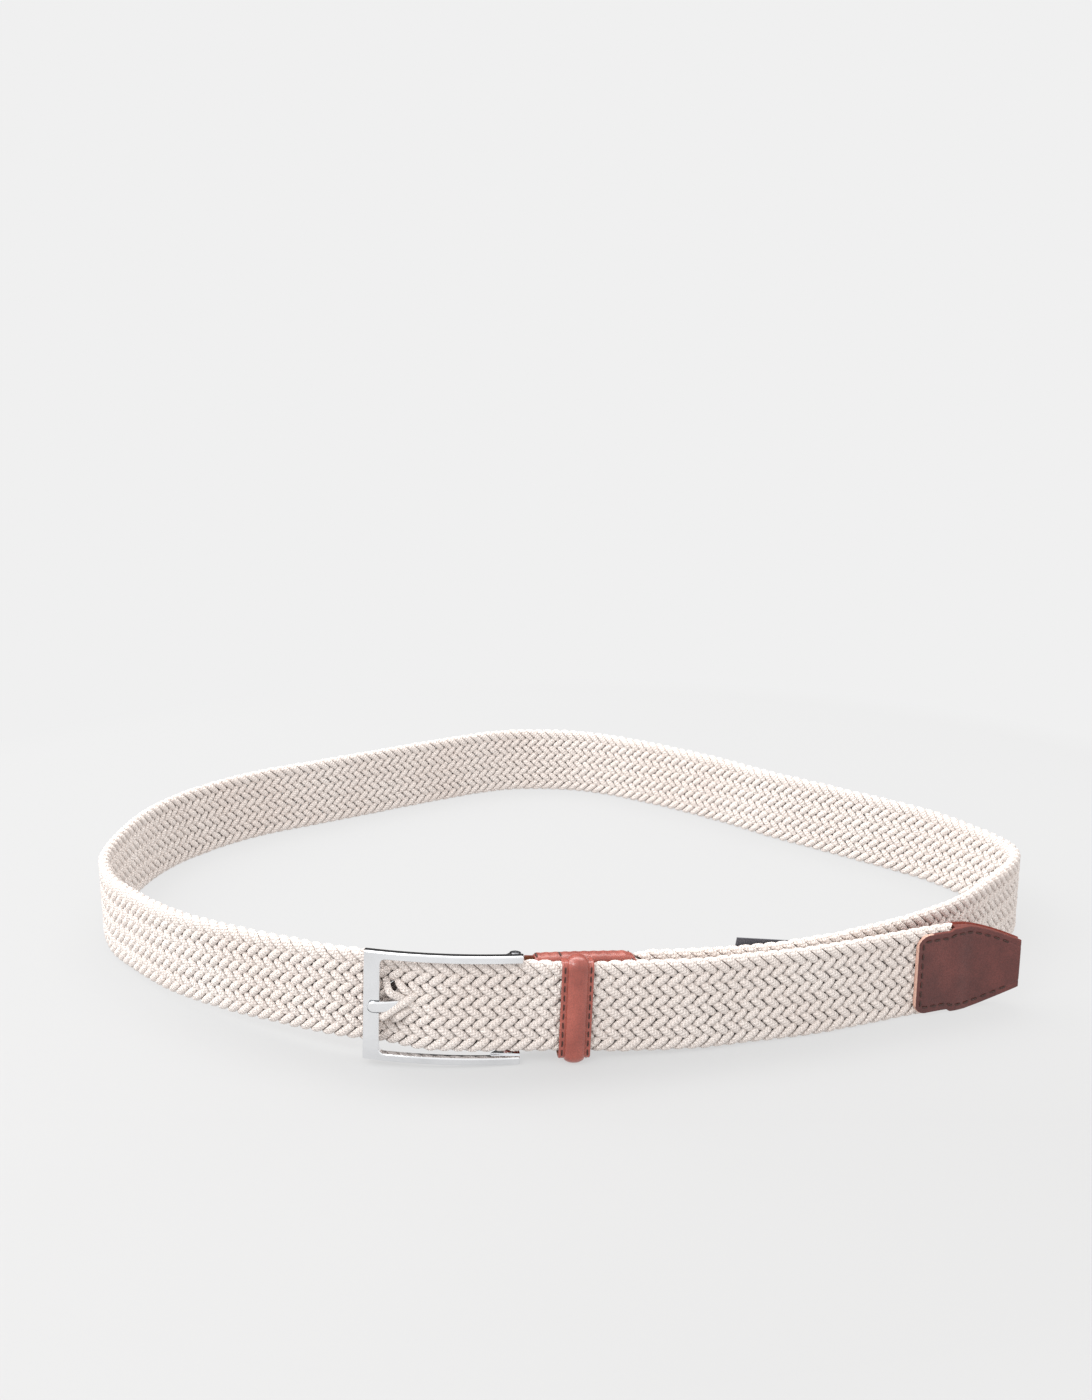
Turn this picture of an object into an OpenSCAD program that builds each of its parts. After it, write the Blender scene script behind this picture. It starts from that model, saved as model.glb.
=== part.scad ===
// Braided stretch belt with leather trim and a pin buckle, fastened and standing on its lower edge.
// +Z is up, -Y is the side with the buckle, and the origin is the middle of the footprint on the floor.

/* [Strap] */
// Width of the braided strap
strap_w = 32.2; // [31.4:0.2:32.4]
// Thickness of the braided strap
strap_t = 4; // [3.4:0.2:4.2]
// Distance between the strap's cross-sections
strap_step = 6; // [4:1:8]

/* [Buckle] */
// Height of the buckle frame, across the strap
frame_h = 38.8; // [38.8:0.1:40]
// Length of the buckle frame, along the strap
frame_l = 53; // [52.5:0.5:53.5]
// Thickness of the frame's plate
frame_t = 3; // [2.6:0.2:3.2]
// Height of each side arm
arm_h = 2.7; // [2.4:0.1:2.7]
// Width of the front bar that the prong rests on
bar_w = 5.6; // [5:0.2:6]
// Radius of the plate's outward bow
bow_r = 141.5; // [138:0.5:150]
// Radius of the heel bar
heel_r = 1.5; // [1.3:0.1:1.5]
// Radial clearance of the prong and the leather on the heel bar
heel_clear = 0.1; // [0.05:0.01:0.1]
// Width of the prong, across the strap
prong_w = 4.4; // [4:0.2:4.8]
// Thickness of the prong
prong_t = 2.3; // [2:0.1:2.4]

/* [Keeper] */
// Width of the keeper along the strap
keeper_w = 10.8; // [10.4:0.2:12]
// Thickness of the keeper's outer leather
keeper_t = 0.8; // [0.6:0.1:0.8]
// Thickness of the keeper's lining
lining_t = 0.4; // [0.3:0.1:0.4]
// Height of the padded ridge on the keeper
ridge_h = 1.2; // [0.8:0.1:1.3]
// Width of the padded ridge
ridge_w = 6.8; // [6:0.2:7]

/* [Leather ends] */
// Thickness of the leather of the chape and the tip
leather_t = 1.2; // [1:0.1:1.2]
// Height of the chape, across the strap
chape_h = 31; // [30:0.2:31]
// Length of the leather tip
tip_l = 43; // [41:1:45]
// Length of the braid inside the tip
tip_cover = 16; // [14:1:18]
// Height of the tip's blunt end
tip_end_h = 18; // [16:0.2:20]

/* [Stitches and label] */
// Thickness of the sewing thread
thread_d = 0.7; // [0.5:0.1:0.8]
// Length of one stitch
stitch_l = 2.6; // [2:0.2:2.8]
// Distance from one stitch to the next
stitch_step = 3.6; // [3.2:0.2:4]
// Length of the blank size label
label_l = 28; // [24:1:30]
// Height of the blank size label
label_h = 14; // [12:1:16]
// Thickness of the size label
label_t = 0.8; // [0.6:0.1:0.8]

/* [Hidden] */
$fn = 48;

// Middle of the strap seen from above, and the height of its lower edge: x, y, lift. The route starts
// at the buckle end, runs right under the tail, round the loop, through the buckle and to the tip.
ROUTE = [
    [-26, -147.2, 3.5], [-12, -145.3, 3.2], [5, -142, 2.4], [28, -138, 1.2], [56, -133.4, 0.5],
    [85.4, -125.2, 0.1], [118.8, -108.7, 0], [148.8, -87, 0], [174.4, -57.4, 0], [185.9, -39.2, 0],
    [187.8, -24.4, 0], [181.3, -7.6, 0], [164.4, 19.6, 0], [130.1, 53, 0], [104.7, 76.4, 0],
    [79.4, 103.1, 0], [50.7, 128.1, 0], [20.4, 148.3, 0], [-5.9, 154.7, 0], [-31.3, 151.7, 0],
    [-61.5, 135, 0], [-91.1, 115.1, 0], [-119, 96.1, 0], [-145.2, 78, 0], [-163.9, 57.6, 0],
    [-178.2, 33, 0], [-185, 5, 0], [-185.9, -32.9, 0], [-177.6, -58.4, 0.2], [-166.3, -75.1, 0.7],
    [-143.4, -101.2, 2.2], [-117.2, -121.5, 3.9], [-93.6, -135.2, 5.1], [-78, -143.1, 5.6],
    [-66, -146.5, 5.7], [-59, -148, 5.5], [-52, -150.9, 5.3], [-44, -153, 5], [-35, -153, 4.6],
    [-25, -152.4, 4.2], [-16, -151.5, 3.8], [-5, -150.8, 3.4], [5, -149.9, 2.7], [20, -147.7, 1.8],
    [47, -143.3, 0.7], [64.7, -138.1, 0.3], [83.6, -133, 0], [101.3, -126.7, 0], [121, -118.6, 0],
    [138.7, -111.7, 0], [153.4, -107.9, 0], [167.2, -106.2, 0], [181, -104.5, 0]
];
SPANS = 8;

// Places along the route that the pieces are cut at, as knot numbers
HEEL_KNOT = 40;
BUTT_KNOT = 1;
LOOP_END_KNOT = 33;
KEEPER_KNOT = 42;
TIP_KNOT = 51;

function spline(a, b, c, d, t) =
    (2 * b + (c - a) * t + (2 * a - 5 * b + 4 * c - d) * t * t + (3 * b - a - 3 * c + d) * t * t * t) / 2;
DENSE = [
    for (i = [1 : len(ROUTE) - 3]) for (j = [0 : SPANS - 1])
        spline(ROUTE[i - 1], ROUTE[i], ROUTE[i + 1], ROUTE[i + 2], j / SPANS),
    ROUTE[len(ROUTE) - 2]
];
STEPS = [for (i = [1 : len(DENSE) - 1]) norm(DENSE[i] - DENSE[i - 1])];
ARC = [for (i = 0, s = 0; i < len(DENSE); s = s + (i < len(STEPS) ? STEPS[i] : 0), i = i + 1) s];
XS = [for (i = [0 : len(DENSE) - 1]) [ARC[i], DENSE[i][0]]];
YS = [for (i = [0 : len(DENSE) - 1]) [ARC[i], DENSE[i][1]]];
LIFTS = [for (i = [0 : len(DENSE) - 1]) [ARC[i], DENSE[i][2]]];

function middle(s) = [lookup(s, XS), lookup(s, YS), lookup(s, LIFTS)];
function heading(s) = let (d = middle(s + 1.5) - middle(s - 1.5)) atan2(d[1], d[0]);
// A point of the strap: along it, out from its middle, and up from its lower edge
function on_strap(s, out, up) =
    let (m = middle(s), h = heading(s)) [m[0] + out * sin(h), m[1] - out * cos(h), m[2] + up];
function knot_s(k) = ARC[(k - 1) * SPANS];
function smooth(t) = let (c = min(1, max(0, t))) c * c * (3 - 2 * c);

heel_s = knot_s(HEEL_KNOT);
butt_s = knot_s(BUTT_KNOT) + 4.8;
keeper_s = knot_s(KEEPER_KNOT) - 0.2;
tail_s = keeper_s + 12.2;
tip_end_s = knot_s(TIP_KNOT);
tip_s = tip_end_s - tip_l;
braid_end_s = tip_s + tip_cover;

// The heel bar's middle, and the lean of the buckle and keeper to the right
heel = [-16, -146.4, 20.2];
// Distance from the heel bar to the cut ends of the arms
frame_r = 3;
lean = 2.3;
// Film of glue between the braid and the leather on it
glue = 0.15;
fold_r = heel_r + heel_clear + leather_t;
// Cross-section of the braid, with its corners taken off
chamfer = 1;
function braid_section(t, w, c) = [
    [t / 2, c], [t / 2, w - c], [t / 2 - c, w], [c - t / 2, w],
    [-t / 2, w - c], [-t / 2, c], [c - t / 2, 0], [t / 2 - c, 0]
];
function stations(a, b, step) = let (n = ceil((b - a) / step)) [for (i = [0 : n]) a + (b - a) * i / n];

module skin(rings) {
    n = len(rings[0]);
    m = len(rings);
    points = [for (r = rings) for (p = r) p];
    sides = [
        for (i = [0 : m - 2]) for (j = [0 : n - 1]) let (k = (j + 1) % n)
            each [[i * n + j, (i + 1) * n + k, i * n + k], [i * n + j, (i + 1) * n + j, (i + 1) * n + k]]
    ];
    caps = [[for (j = [0 : n - 1]) j], [for (j = [n - 1 : -1 : 0]) (m - 1) * n + j]];
    polyhedron(points, concat(sides, caps), convexity = 10);
}

module braid(a, b) {
    section = braid_section(strap_t, strap_w, chamfer);
    skin([for (s = stations(a, b, strap_step)) [for (p = section) on_strap(s, p[0], p[1])]]);
}

// Coordinates of the buckle: the heel bar is the Z axis and the frame reaches to -X
module at_heel() translate(heel) rotate([0, lean, 0]) children();

// Coordinates of the keeper: X along the strap, and the tail's middle at Y 0
module at_keeper() {
    m = middle(keeper_s);
    translate([m[0], m[1], m[2] + strap_w / 2]) rotate([0, 0, heading(keeper_s)]) rotate([0, lean, 0])
        children();
}

// A stitch that lies on the strap's side, turned by an angle from the strap's direction
module stitch(s, out, up, turn) {
    p = on_strap(s, out, up);
    translate(p) rotate([0, 0, heading(s)]) rotate([0, -turn, 0])
        cube([stitch_l, thread_d, thread_d], center = true);
}

module strap_loop() {
    color("#e6ddd0") braid(butt_s, knot_s(LOOP_END_KNOT) - 0.8);
}

module strap_in_buckle() {
    slot_l = 12.5;
    slot_x = -41;
    color("#e6ddd0") difference() {
        braid(knot_s(LOOP_END_KNOT), heel_s - 2.6);
        at_heel() translate([slot_x, -10, -(prong_w + 1.2) / 2]) cube([slot_l, 12, prong_w + 1.2]);
    }
}

module strap_under_keeper() {
    color("#e6ddd0") braid(heel_s - 1, tail_s - 0.6);
}

module strap_tail() {
    color("#e6ddd0") braid(tail_s, braid_end_s);
}

// Tape over a cut end of the braid, as a thin closed cap that keeps the cords from fraying
module cap_tape(a, b) {
    section = braid_section(strap_t, strap_w - 3, chamfer);
    skin([for (s = [a, b]) [for (p = section) on_strap(s, p[0], p[1] + 1.5)]]);
}

module braid_binding_buckle_end() {
    color("#cfc6b8") cap_tape(butt_s - 0.5, butt_s);
}

module braid_binding_tip_end() {
    color("#cfc6b8") cap_tape(braid_end_s, braid_end_s + 0.5);
}

// The chape seen from above: two flaps on the strap, and the fold that holds the heel bar
function flat_point(s, out) = let (p = on_strap(s, out, 0)) [p[0] - heel[0], p[1] - heel[1]];
flap_l = 36;
fold_s = butt_s - 2.2;

module chape_flap(side) {
    inner = side * (strap_t / 2 + glue);
    outer = side * (strap_t / 2 + glue + leather_t);
    line = stations(fold_s - 1, fold_s + flap_l, 4);
    translate([heel[0], heel[1], 3.5]) linear_extrude(height = chape_h - 0.8) polygon(concat(
        [for (s = line) flat_point(s, inner)],
        [for (i = [len(line) - 1 : -1 : 0]) flat_point(line[i], outer)]
    ));
}

module chape_fold() {
    edge = strap_t / 2 + glue + leather_t / 2;
    cylinder(r = fold_r, h = chape_h);
    linear_extrude(height = chape_h)
        polygon([[0, -fold_r], flat_point(fold_s, edge), flat_point(fold_s, -edge), [0, fold_r]]);
}

module chape_leather() {
    slot_h = prong_w + 1;
    color("#8f4a38") union() {
        chape_flap(1);
        chape_flap(-1);
        at_heel() difference() {
            translate([0, 0, -chape_h / 2]) chape_fold();
            translate([0, 0, -frame_h / 2]) cylinder(r = heel_r + heel_clear, h = frame_h);
            translate([-5, -5, -slot_h / 2]) cube([8.4, 10, slot_h]);
        }
    }
}

module chape_thread() {
    rows = [3.4, 31.6];
    stitches = 9;
    color("#2a1a18") for (row = rows) for (i = [0 : stitches - 1])
        stitch(butt_s + row, -(strap_t / 2 + glue + leather_t + thread_d / 2 + 0.12),
            strap_w / 2 + (i - (stitches - 1) / 2) * stitch_step, 90);
}

module frame_plate() {
    bow_x = frame_r - frame_l / 2;
    bow_y = -8.5 + sqrt(bow_r * bow_r - bow_x * bow_x);
    intersection() {
        translate([frame_r - frame_l, -20, -frame_h / 2]) cube([frame_l, 20, frame_h]);
        translate([bow_x, bow_y, -frame_h / 2]) difference() {
            cylinder(r = bow_r, h = frame_h);
            translate([0, 0, -1]) cylinder(r = bow_r - frame_t, h = frame_h + 2);
        }
    }
}

// The open space between the arms, with small corners at the front bar
module frame_window() {
    window_h = frame_h - 2 * arm_h;
    window_x = frame_r - frame_l + bar_w;
    corner = 1.7;
    rotate([90, 0, 0]) translate([0, 0, -1]) linear_extrude(height = 20) union() {
        translate([window_x + corner, -window_h / 2]) square([frame_l, window_h]);
        translate([window_x, corner - window_h / 2]) square([frame_l, window_h - 2 * corner]);
        for (side = [-1, 1])
            translate([window_x + corner, side * (window_h / 2 - corner)]) circle(r = corner);
    }
}

// Lug behind an arm, which carries one end of the heel bar
module frame_lug() {
    lug_t = 1;
    lug_r = 2.2;
    translate([0, 0, frame_h / 2 - arm_h]) linear_extrude(height = lug_t) union() {
        circle(r = lug_r);
        polygon([[-lug_r, 0], [-7, -6.4], [2.9, -6.2], [lug_r, 0]]);
    }
}

module prong_notch() {
    notch_h = prong_w + 0.7;
    floor_y = -6.95;
    length = 5;
    rotate([90, 0, 0]) translate([0, 0, -floor_y]) linear_extrude(height = 6) union() {
        translate([frame_r - frame_l + 1.2 + notch_h / 2, -notch_h / 2]) square([length, notch_h]);
        translate([frame_r - frame_l + 1.2 + notch_h / 2, 0]) circle(r = notch_h / 2);
    }
}

module buckle_frame() {
    color("#d9dade") at_heel() difference() {
        union() {
            difference() {
                frame_plate();
                frame_window();
            }
            frame_lug();
            mirror([0, 0, 1]) frame_lug();
        }
        translate([0, 0, -frame_h / 2]) cylinder(r = heel_r, h = frame_h);
        prong_notch();
    }
}

module heel_bar() {
    bar_h = frame_h - 2 * arm_h + 2;
    color("#c9cace") at_heel() translate([0, 0, -bar_h / 2]) cylinder(r = heel_r, h = bar_h);
}

// Height of the prong's middle over the heel bar: it runs behind the strap, then out through the weave
function prong_y(x) = -1.1 - 7.1 * smooth((-x - 24.5) / 21);

module prong() {
    tip_x = frame_r - frame_l + 1.7;
    loop_r = 2.7;
    line = [for (i = [0 : 24]) -2 + (tip_x + 2) * i / 24];
    half = prong_w / 2;
    color("#dcdde1") at_heel() intersection() {
        difference() {
            translate([0, 0, -half]) union() {
                cylinder(r = loop_r, h = prong_w);
                linear_extrude(height = prong_w) polygon(concat(
                    [for (x = line) [x, prong_y(x) - prong_t / 2]],
                    [for (i = [len(line) - 1 : -1 : 0]) [line[i], prong_y(line[i]) + prong_t / 2]]
                ));
            }
            translate([0, 0, -half - 1]) cylinder(r = heel_r + heel_clear, h = prong_w + 2);
        }
        rotate([90, 0, 0]) translate([0, 0, -10]) linear_extrude(height = 30) union() {
            translate([tip_x + half, -half]) square([frame_l, prong_w]);
            translate([tip_x + half, 0]) circle(r = half);
        }
    }
}

keeper_gap = 0.25;
keeper_in_y = strap_t + 2 * keeper_gap;
keeper_in_z = strap_w + 2 * keeper_gap;
keeper_face = lining_t + keeper_t;

// Outline round the strap, grown to the front, top and bottom, and by less at the back
module keeper_round(grow) {
    back = min(grow, keeper_face);
    y = keeper_in_y + grow + back;
    z = keeper_in_z + 2 * grow;
    r = 0.9 + grow / 2;
    translate([(back - grow) / 2, 0]) {
        square([y, z - 2 * r], center = true);
        square([y - 2 * r, z], center = true);
        for (i = [-1, 1]) for (j = [-1, 1])
            translate([i * (y / 2 - r), j * (z / 2 - r)]) circle(r = r);
    }
}

// A closed band of the keeper: its width, and how far its faces stand off the strap's space
module keeper_band(w, inside, outside) {
    at_keeper() translate([-w / 2, 0, 0]) rotate([90, 0, 90]) linear_extrude(height = w) difference() {
        keeper_round(outside);
        keeper_round(inside);
    }
}

module keeper_lining() {
    color("#a86a4c") keeper_band(keeper_w, 0, lining_t);
}

// Cord under the leather on the keeper's front, which raises its ridge
module keeper_padding() {
    h = strap_w - 2;
    y = -keeper_in_y / 2 - lining_t - ridge_h / 2;
    color("#d8cdb8") at_keeper() translate([0, y, 0])
        cube([ridge_w - 1.6, ridge_h - 0.1, h], center = true);
}

module keeper_outer() {
    h = strap_w - 1.9;
    color("#8f4534") difference() {
        union() {
            keeper_band(keeper_w, lining_t, keeper_face);
            for (i = [0 : 3]) let (a = 90 * i / 4)
                keeper_band(ridge_w * cos(a) + 0.1, lining_t, keeper_face + ridge_h * sin(a + 22.5));
        }
        at_keeper() translate([0, -keeper_in_y / 2 - lining_t - ridge_h / 2, 0])
            cube([ridge_w - 1.5, ridge_h, h], center = true);
    }
}

module keeper_staple() {
    wire = 0.6;
    under = keeper_in_z / 2 + keeper_face + 0.02;
    color("#b9babd") at_keeper() translate([4, -1.5, -under - wire]) cube([wire, 3, wire]);
}

module keeper_thread() {
    stitches = 10;
    y = -keeper_in_y / 2 - keeper_face - thread_d / 4 - 0.02;
    color("#2a1a18") for (side = [-1, 1]) for (i = [0 : stitches - 1])
        at_keeper() translate([side * 4.35, y, (i - (stitches - 1) / 2) * 3.3])
            cube([thread_d, thread_d / 2, 2.2], center = true);
}

// Half the height of the leather tip at a distance from its start: round corners over the braid, a
// step where the braid ends, then a taper to the blunt end
function tip_half(d) =
    let (over = strap_w / 2 - 1, corner = 5)
    d < corner ? over - corner + sqrt(max(0, corner * corner - pow(corner - d, 2)))
    : d < tip_cover - 2 ? over
    : d < tip_cover + 6 ? over + 1 * smooth((d - tip_cover + 2) / 2)
    : strap_w / 2 - (strap_w - tip_end_h) / 2 * pow((d - tip_cover - 6) / (tip_l - tip_cover - 6), 1.3);
function tip_up(d) = [strap_w / 2 - tip_half(d), strap_w / 2 + tip_half(d)];
// Distance of the leather's inner face from the middle: over the braid, then closing on the filler
function tip_out(d) = strap_t / 2 + glue - 1.1 * smooth((d - tip_cover - 1) / 8);

tip_marks = concat([0, 0.6, 1.6, 3, 5], stations(8, tip_cover - 2, 3), [tip_cover - 1, tip_cover],
    stations(tip_cover + 2, tip_l, 2.5));

module tip_face(side) {
    skin([
        for (d = tip_marks) let (u = tip_up(d), a = tip_out(d), b = a + leather_t)
            side > 0
            ? [for (p = [[b, u[0]], [b, u[1]], [a, u[1]], [a, u[0]]]) on_strap(tip_s + d, p[0], p[1])]
            : [for (p = [[-a, u[0]], [-a, u[1]], [-b, u[1]], [-b, u[0]]]) on_strap(tip_s + d, p[0], p[1])]
    ]);
}

module tip_front() {
    color("#7a372c") tip_face(1);
}

module tip_back() {
    color("#8c4a3b") tip_face(-1);
}

module tip_filler() {
    start = tip_cover + 0.6;
    marks = concat([start], [for (d = tip_marks) if (d > start) d]);
    color("#6b4a3a") skin([
        for (d = marks) let (u = tip_up(d), a = tip_out(d) - 0.05)
            [for (p = [[a, u[0] + 1], [a, u[1] - 1], [-a, u[1] - 1], [-a, u[0] + 1]])
                on_strap(tip_s + d, p[0], p[1])]
    ]);
}

module tip_thread() {
    inset = 2.4;
    out = leather_t + thread_d / 2 + 0.08;
    color("#2a1a18") {
        for (d = [4.5 : stitch_step : tip_l - 3]) for (side = [-1, 1])
            let (
                slope = atan((tip_half(d + 1) - tip_half(d - 1)) / 2),
                face = max(tip_out(d - stitch_l / 2), tip_out(d + stitch_l / 2))
            )
                stitch(tip_s + d, face + out, strap_w / 2 + side * (tip_half(d) - inset), side * slope);
        for (i = [-3 : 3])
            stitch(tip_s + 2.2, tip_out(0) + out, strap_w / 2 + i * stitch_step, 90);
    }
}

// The label lies on the inside of the buckle end's layer, turned so that one corner shows over its edge
label_s = butt_s + 84.2;
label_turn = 10;
module at_label() {
    p = on_strap(label_s, -strap_t / 2 - 0.65, strap_w + 0.6);
    translate(p) rotate([0, 0, heading(label_s)]) rotate([0, label_turn, 0])
        translate([-label_l / 2, 0, 0]) children();
}

module size_label() {
    color("#4a4a4f") at_label() translate([0, 0, -label_h]) cube([label_l, label_t, label_h]);
}

module label_thread() {
    color("#2b2b2f") at_label() for (i = [0 : 5])
        translate([2 + i * 4.2, label_t + 0.02, -label_h + 1.5]) cube([stitch_l, 0.4, 0.5]);
}

strap_loop();
strap_in_buckle();
strap_under_keeper();
strap_tail();
braid_binding_buckle_end();
braid_binding_tip_end();
chape_leather();
chape_thread();
buckle_frame();
heel_bar();
prong();
keeper_outer();
keeper_padding();
keeper_lining();
keeper_staple();
keeper_thread();
tip_front();
tip_back();
tip_filler();
tip_thread();
size_label();
label_thread();
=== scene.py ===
import math

import bmesh
import bpy
import numpy as np
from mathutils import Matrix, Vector

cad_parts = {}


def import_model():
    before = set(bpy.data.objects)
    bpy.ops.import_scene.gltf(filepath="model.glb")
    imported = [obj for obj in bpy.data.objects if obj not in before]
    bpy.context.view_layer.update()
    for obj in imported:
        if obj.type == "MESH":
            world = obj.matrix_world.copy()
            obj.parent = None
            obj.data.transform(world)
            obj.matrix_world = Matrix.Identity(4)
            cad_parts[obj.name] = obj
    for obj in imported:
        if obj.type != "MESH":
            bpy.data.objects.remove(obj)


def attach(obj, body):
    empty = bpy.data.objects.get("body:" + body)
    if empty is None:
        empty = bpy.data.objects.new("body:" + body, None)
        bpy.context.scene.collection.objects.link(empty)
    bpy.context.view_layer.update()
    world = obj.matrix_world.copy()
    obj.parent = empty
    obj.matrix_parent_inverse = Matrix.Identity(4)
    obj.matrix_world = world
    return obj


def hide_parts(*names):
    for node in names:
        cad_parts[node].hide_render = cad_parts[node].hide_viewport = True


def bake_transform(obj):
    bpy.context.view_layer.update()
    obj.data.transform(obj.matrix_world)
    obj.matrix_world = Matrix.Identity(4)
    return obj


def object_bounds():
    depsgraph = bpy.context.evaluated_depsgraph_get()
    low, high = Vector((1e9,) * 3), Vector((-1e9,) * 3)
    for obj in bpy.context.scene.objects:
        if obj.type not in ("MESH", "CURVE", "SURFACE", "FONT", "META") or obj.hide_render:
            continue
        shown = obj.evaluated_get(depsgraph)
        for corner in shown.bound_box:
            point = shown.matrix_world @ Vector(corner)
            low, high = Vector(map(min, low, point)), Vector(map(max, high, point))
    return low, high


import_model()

# Braided stretch belt with leather trim. Shapes are worked out in millimetres and made in metres.
MM = 0.001
bounds_at_load = [[float(x) for x in corner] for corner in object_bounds()]


# ---------------------------------------------------------------- sizes

STRAP_W = 32.2
STRAP_T = 4.0
GLUE = 0.15
LEATHER_T = 1.2
THREAD_D = 0.7
STITCH_STEP = 3.6

# Middle of the heel bar, and how far the buckle and the keeper lean towards the tip
HEEL = np.array([-16.0, -146.4, 19.75])
LEAN = math.radians(2.3)

# The frame, in coordinates whose Z axis is the heel bar
FRAME_H = 39.2
FRAME_LEFT = -50.0
FRAME_RIGHT = 3.0
FRAME_T = 3.0
ARM_H = 2.7
BAR_W = 5.6
BOW_R = 141.5
BOW_X = -23.0
BOW_Y = -8.5 + math.sqrt(BOW_R ** 2 - BOW_X ** 2)
HEEL_R = 1.5
HEEL_CLEAR = 0.1
PRONG_W = 4.0
PRONG_T = 2.3

KEEPER_W = 10.8
KEEPER_GAP = 0.25
KEEPER_T = 0.8
LINING_T = 0.4
RIDGE_W = 7.0
RIDGE_H = 1.2

TIP_L = 43.0
TIP_COVER = 16.0
TIP_END_H = 18.0

# Middle of the strap seen from above, and the height of its lower edge: x, y, lift
ROUTE = [
    [-26, -147.2, 3.5], [-12, -145.3, 3.2], [5, -142, 2.4], [28, -138, 1.2], [56, -133.4, 0.5],
    [85.4, -125.2, 0.1], [118.8, -108.7, 0], [148.8, -87, 0], [174.4, -57.4, 0], [185.9, -39.2, 0],
    [187.8, -24.4, 0], [181.3, -7.6, 0], [164.4, 19.6, 0], [130.1, 53, 0], [104.7, 76.4, 0],
    [79.4, 103.1, 0], [50.7, 128.1, 0], [20.4, 148.3, 0], [-5.9, 154.7, 0], [-31.3, 151.7, 0],
    [-61.5, 135, 0], [-91.1, 115.1, 0], [-119, 96.1, 0], [-145.2, 78, 0], [-163.9, 57.6, 0],
    [-178.2, 33, 0], [-185, 5, 0], [-185.9, -32.9, 0], [-177.6, -58.4, 0.2], [-166.3, -75.1, 0.7],
    [-143.4, -101.2, 2.2], [-117.2, -121.5, 3.9], [-93.6, -135.2, 5.1], [-78, -143.1, 5.6],
    [-66, -146.5, 5.7], [-59, -148, 5.5], [-52, -150.9, 5.3], [-44, -153, 5], [-35, -153, 4.6],
    [-25, -152.4, 4.2], [-16, -151.5, 3.8], [-5, -150.8, 3.4], [5, -149.9, 2.7], [20, -147.7, 1.8],
    [47, -143.3, 0.7], [64.7, -138.1, 0.3], [83.6, -133, 0], [101.3, -126.7, 0], [121, -118.6, 0],
    [138.7, -111.7, 0], [153.4, -107.9, 0], [167.2, -106.2, 0], [181, -104.5, 0],
]


# ---------------------------------------------------------------- the strap's line

def smooth(t):
    """From 0 to 1 with level ends."""
    c = np.clip(t, 0, 1)
    return c * c * (3 - 2 * c)


def route_at(u):
    """Points of the route at knot numbers u, counted from the second knot."""
    knots = np.array(ROUTE, float)
    i = np.minimum(u.astype(int), len(knots) - 4)
    t = (u - i)[:, None]
    a, b, c, d = knots[i], knots[i + 1], knots[i + 2], knots[i + 3]
    return (2 * b + (c - a) * t + (2 * a - 5 * b + 4 * c - d) * t ** 2 + (3 * b - a - 3 * c + d) * t ** 3) / 2


SPANS = len(ROUTE) - 3
COARSE_U = np.arange(SPANS * 8 + 1) / 8
COARSE = route_at(COARSE_U)
ARC = np.concatenate([[0], np.cumsum(np.linalg.norm(np.diff(COARSE, axis=0), axis=1))])
FINE_U = np.arange(SPANS * 64 + 1) / 64
FINE_S = np.interp(FINE_U, COARSE_U, ARC)
FINE = route_at(FINE_U)


def knot_s(k):
    """Distance along the strap of a knot of the route."""
    return float(ARC[(k - 1) * 8])


def middle(s):
    """The strap's middle line at its lower edge."""
    return np.stack([np.interp(s, FINE_S, FINE[:, i]) for i in range(3)], axis=-1)


def along(s):
    """Unit vectors along the strap, level."""
    d = middle(np.asarray(s, float) + 1.5) - middle(np.asarray(s, float) - 1.5)
    d[..., 2] = 0
    return d / np.linalg.norm(d, axis=-1, keepdims=True)


def outward(s):
    """Unit vectors out of the loop, level."""
    d = along(s)
    return np.stack([d[..., 1], -d[..., 0], np.zeros(d.shape[:-1])], axis=-1)


def on_strap(s, out, up):
    """A point of the strap: along it, out from its middle, and up from its lower edge."""
    s, out, up = np.broadcast_arrays(np.asarray(s, float), out, up)
    p = middle(s) + outward(s) * out[..., None]
    p[..., 2] += up
    return p


HEEL_S = knot_s(40)
BUTT_S = knot_s(1) + 4.8
LOOP_END_S = knot_s(33)
KEEPER_S = knot_s(42) - 0.2
TAIL_S = KEEPER_S + 12.2
FLAP_L = 36.0
FOLD_S = BUTT_S - 2.2
TIP_END_S = knot_s(51)
TIP_S = TIP_END_S - TIP_L
BRAID_END_S = TIP_S + TIP_COVER


def leaned(p):
    """Points given upright, leaned towards the tip: X, Y and Z."""
    p = np.asarray(p, float)
    x = p[..., 0] * math.cos(LEAN) + p[..., 2] * math.sin(LEAN)
    z = -p[..., 0] * math.sin(LEAN) + p[..., 2] * math.cos(LEAN)
    return x, p[..., 1], z


def from_heel(p):
    """Buckle coordinates, with the heel bar as the Z axis, to the belt's frame."""
    return np.stack(leaned(p), axis=-1) + HEEL


def from_keeper(p):
    """Keeper coordinates, X along the strap and Y to the inside of the loop, to the belt's frame."""
    d = along(KEEPER_S)
    x, y, z = leaned(p)
    origin = middle(KEEPER_S) + [0, 0, STRAP_W / 2]
    return np.stack([x * d[0] - y * d[1], x * d[1] + y * d[0], z], axis=-1) + origin


# ---------------------------------------------------------------- materials

def linear(r, g, b):
    """A screen colour, 0 to 255, as a linear colour with full alpha."""
    return tuple(((c / 255 + 0.055) / 1.055) ** 2.4 if c > 10 else c / 3294.6 for c in (r, g, b)) + (1.0,)


def add_node(tree, kind, values=(), links=(), **settings):
    """A shader node with its settings, the values of its inputs and what is linked to them."""
    n = tree.nodes.new(kind)
    for key, value in settings.items():
        setattr(n, key, value)
    for key, value in dict(values).items():
        n.inputs[key].default_value = value
    for key, source in dict(links).items():
        tree.links.new(source, n.inputs[key])
    return n


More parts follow.
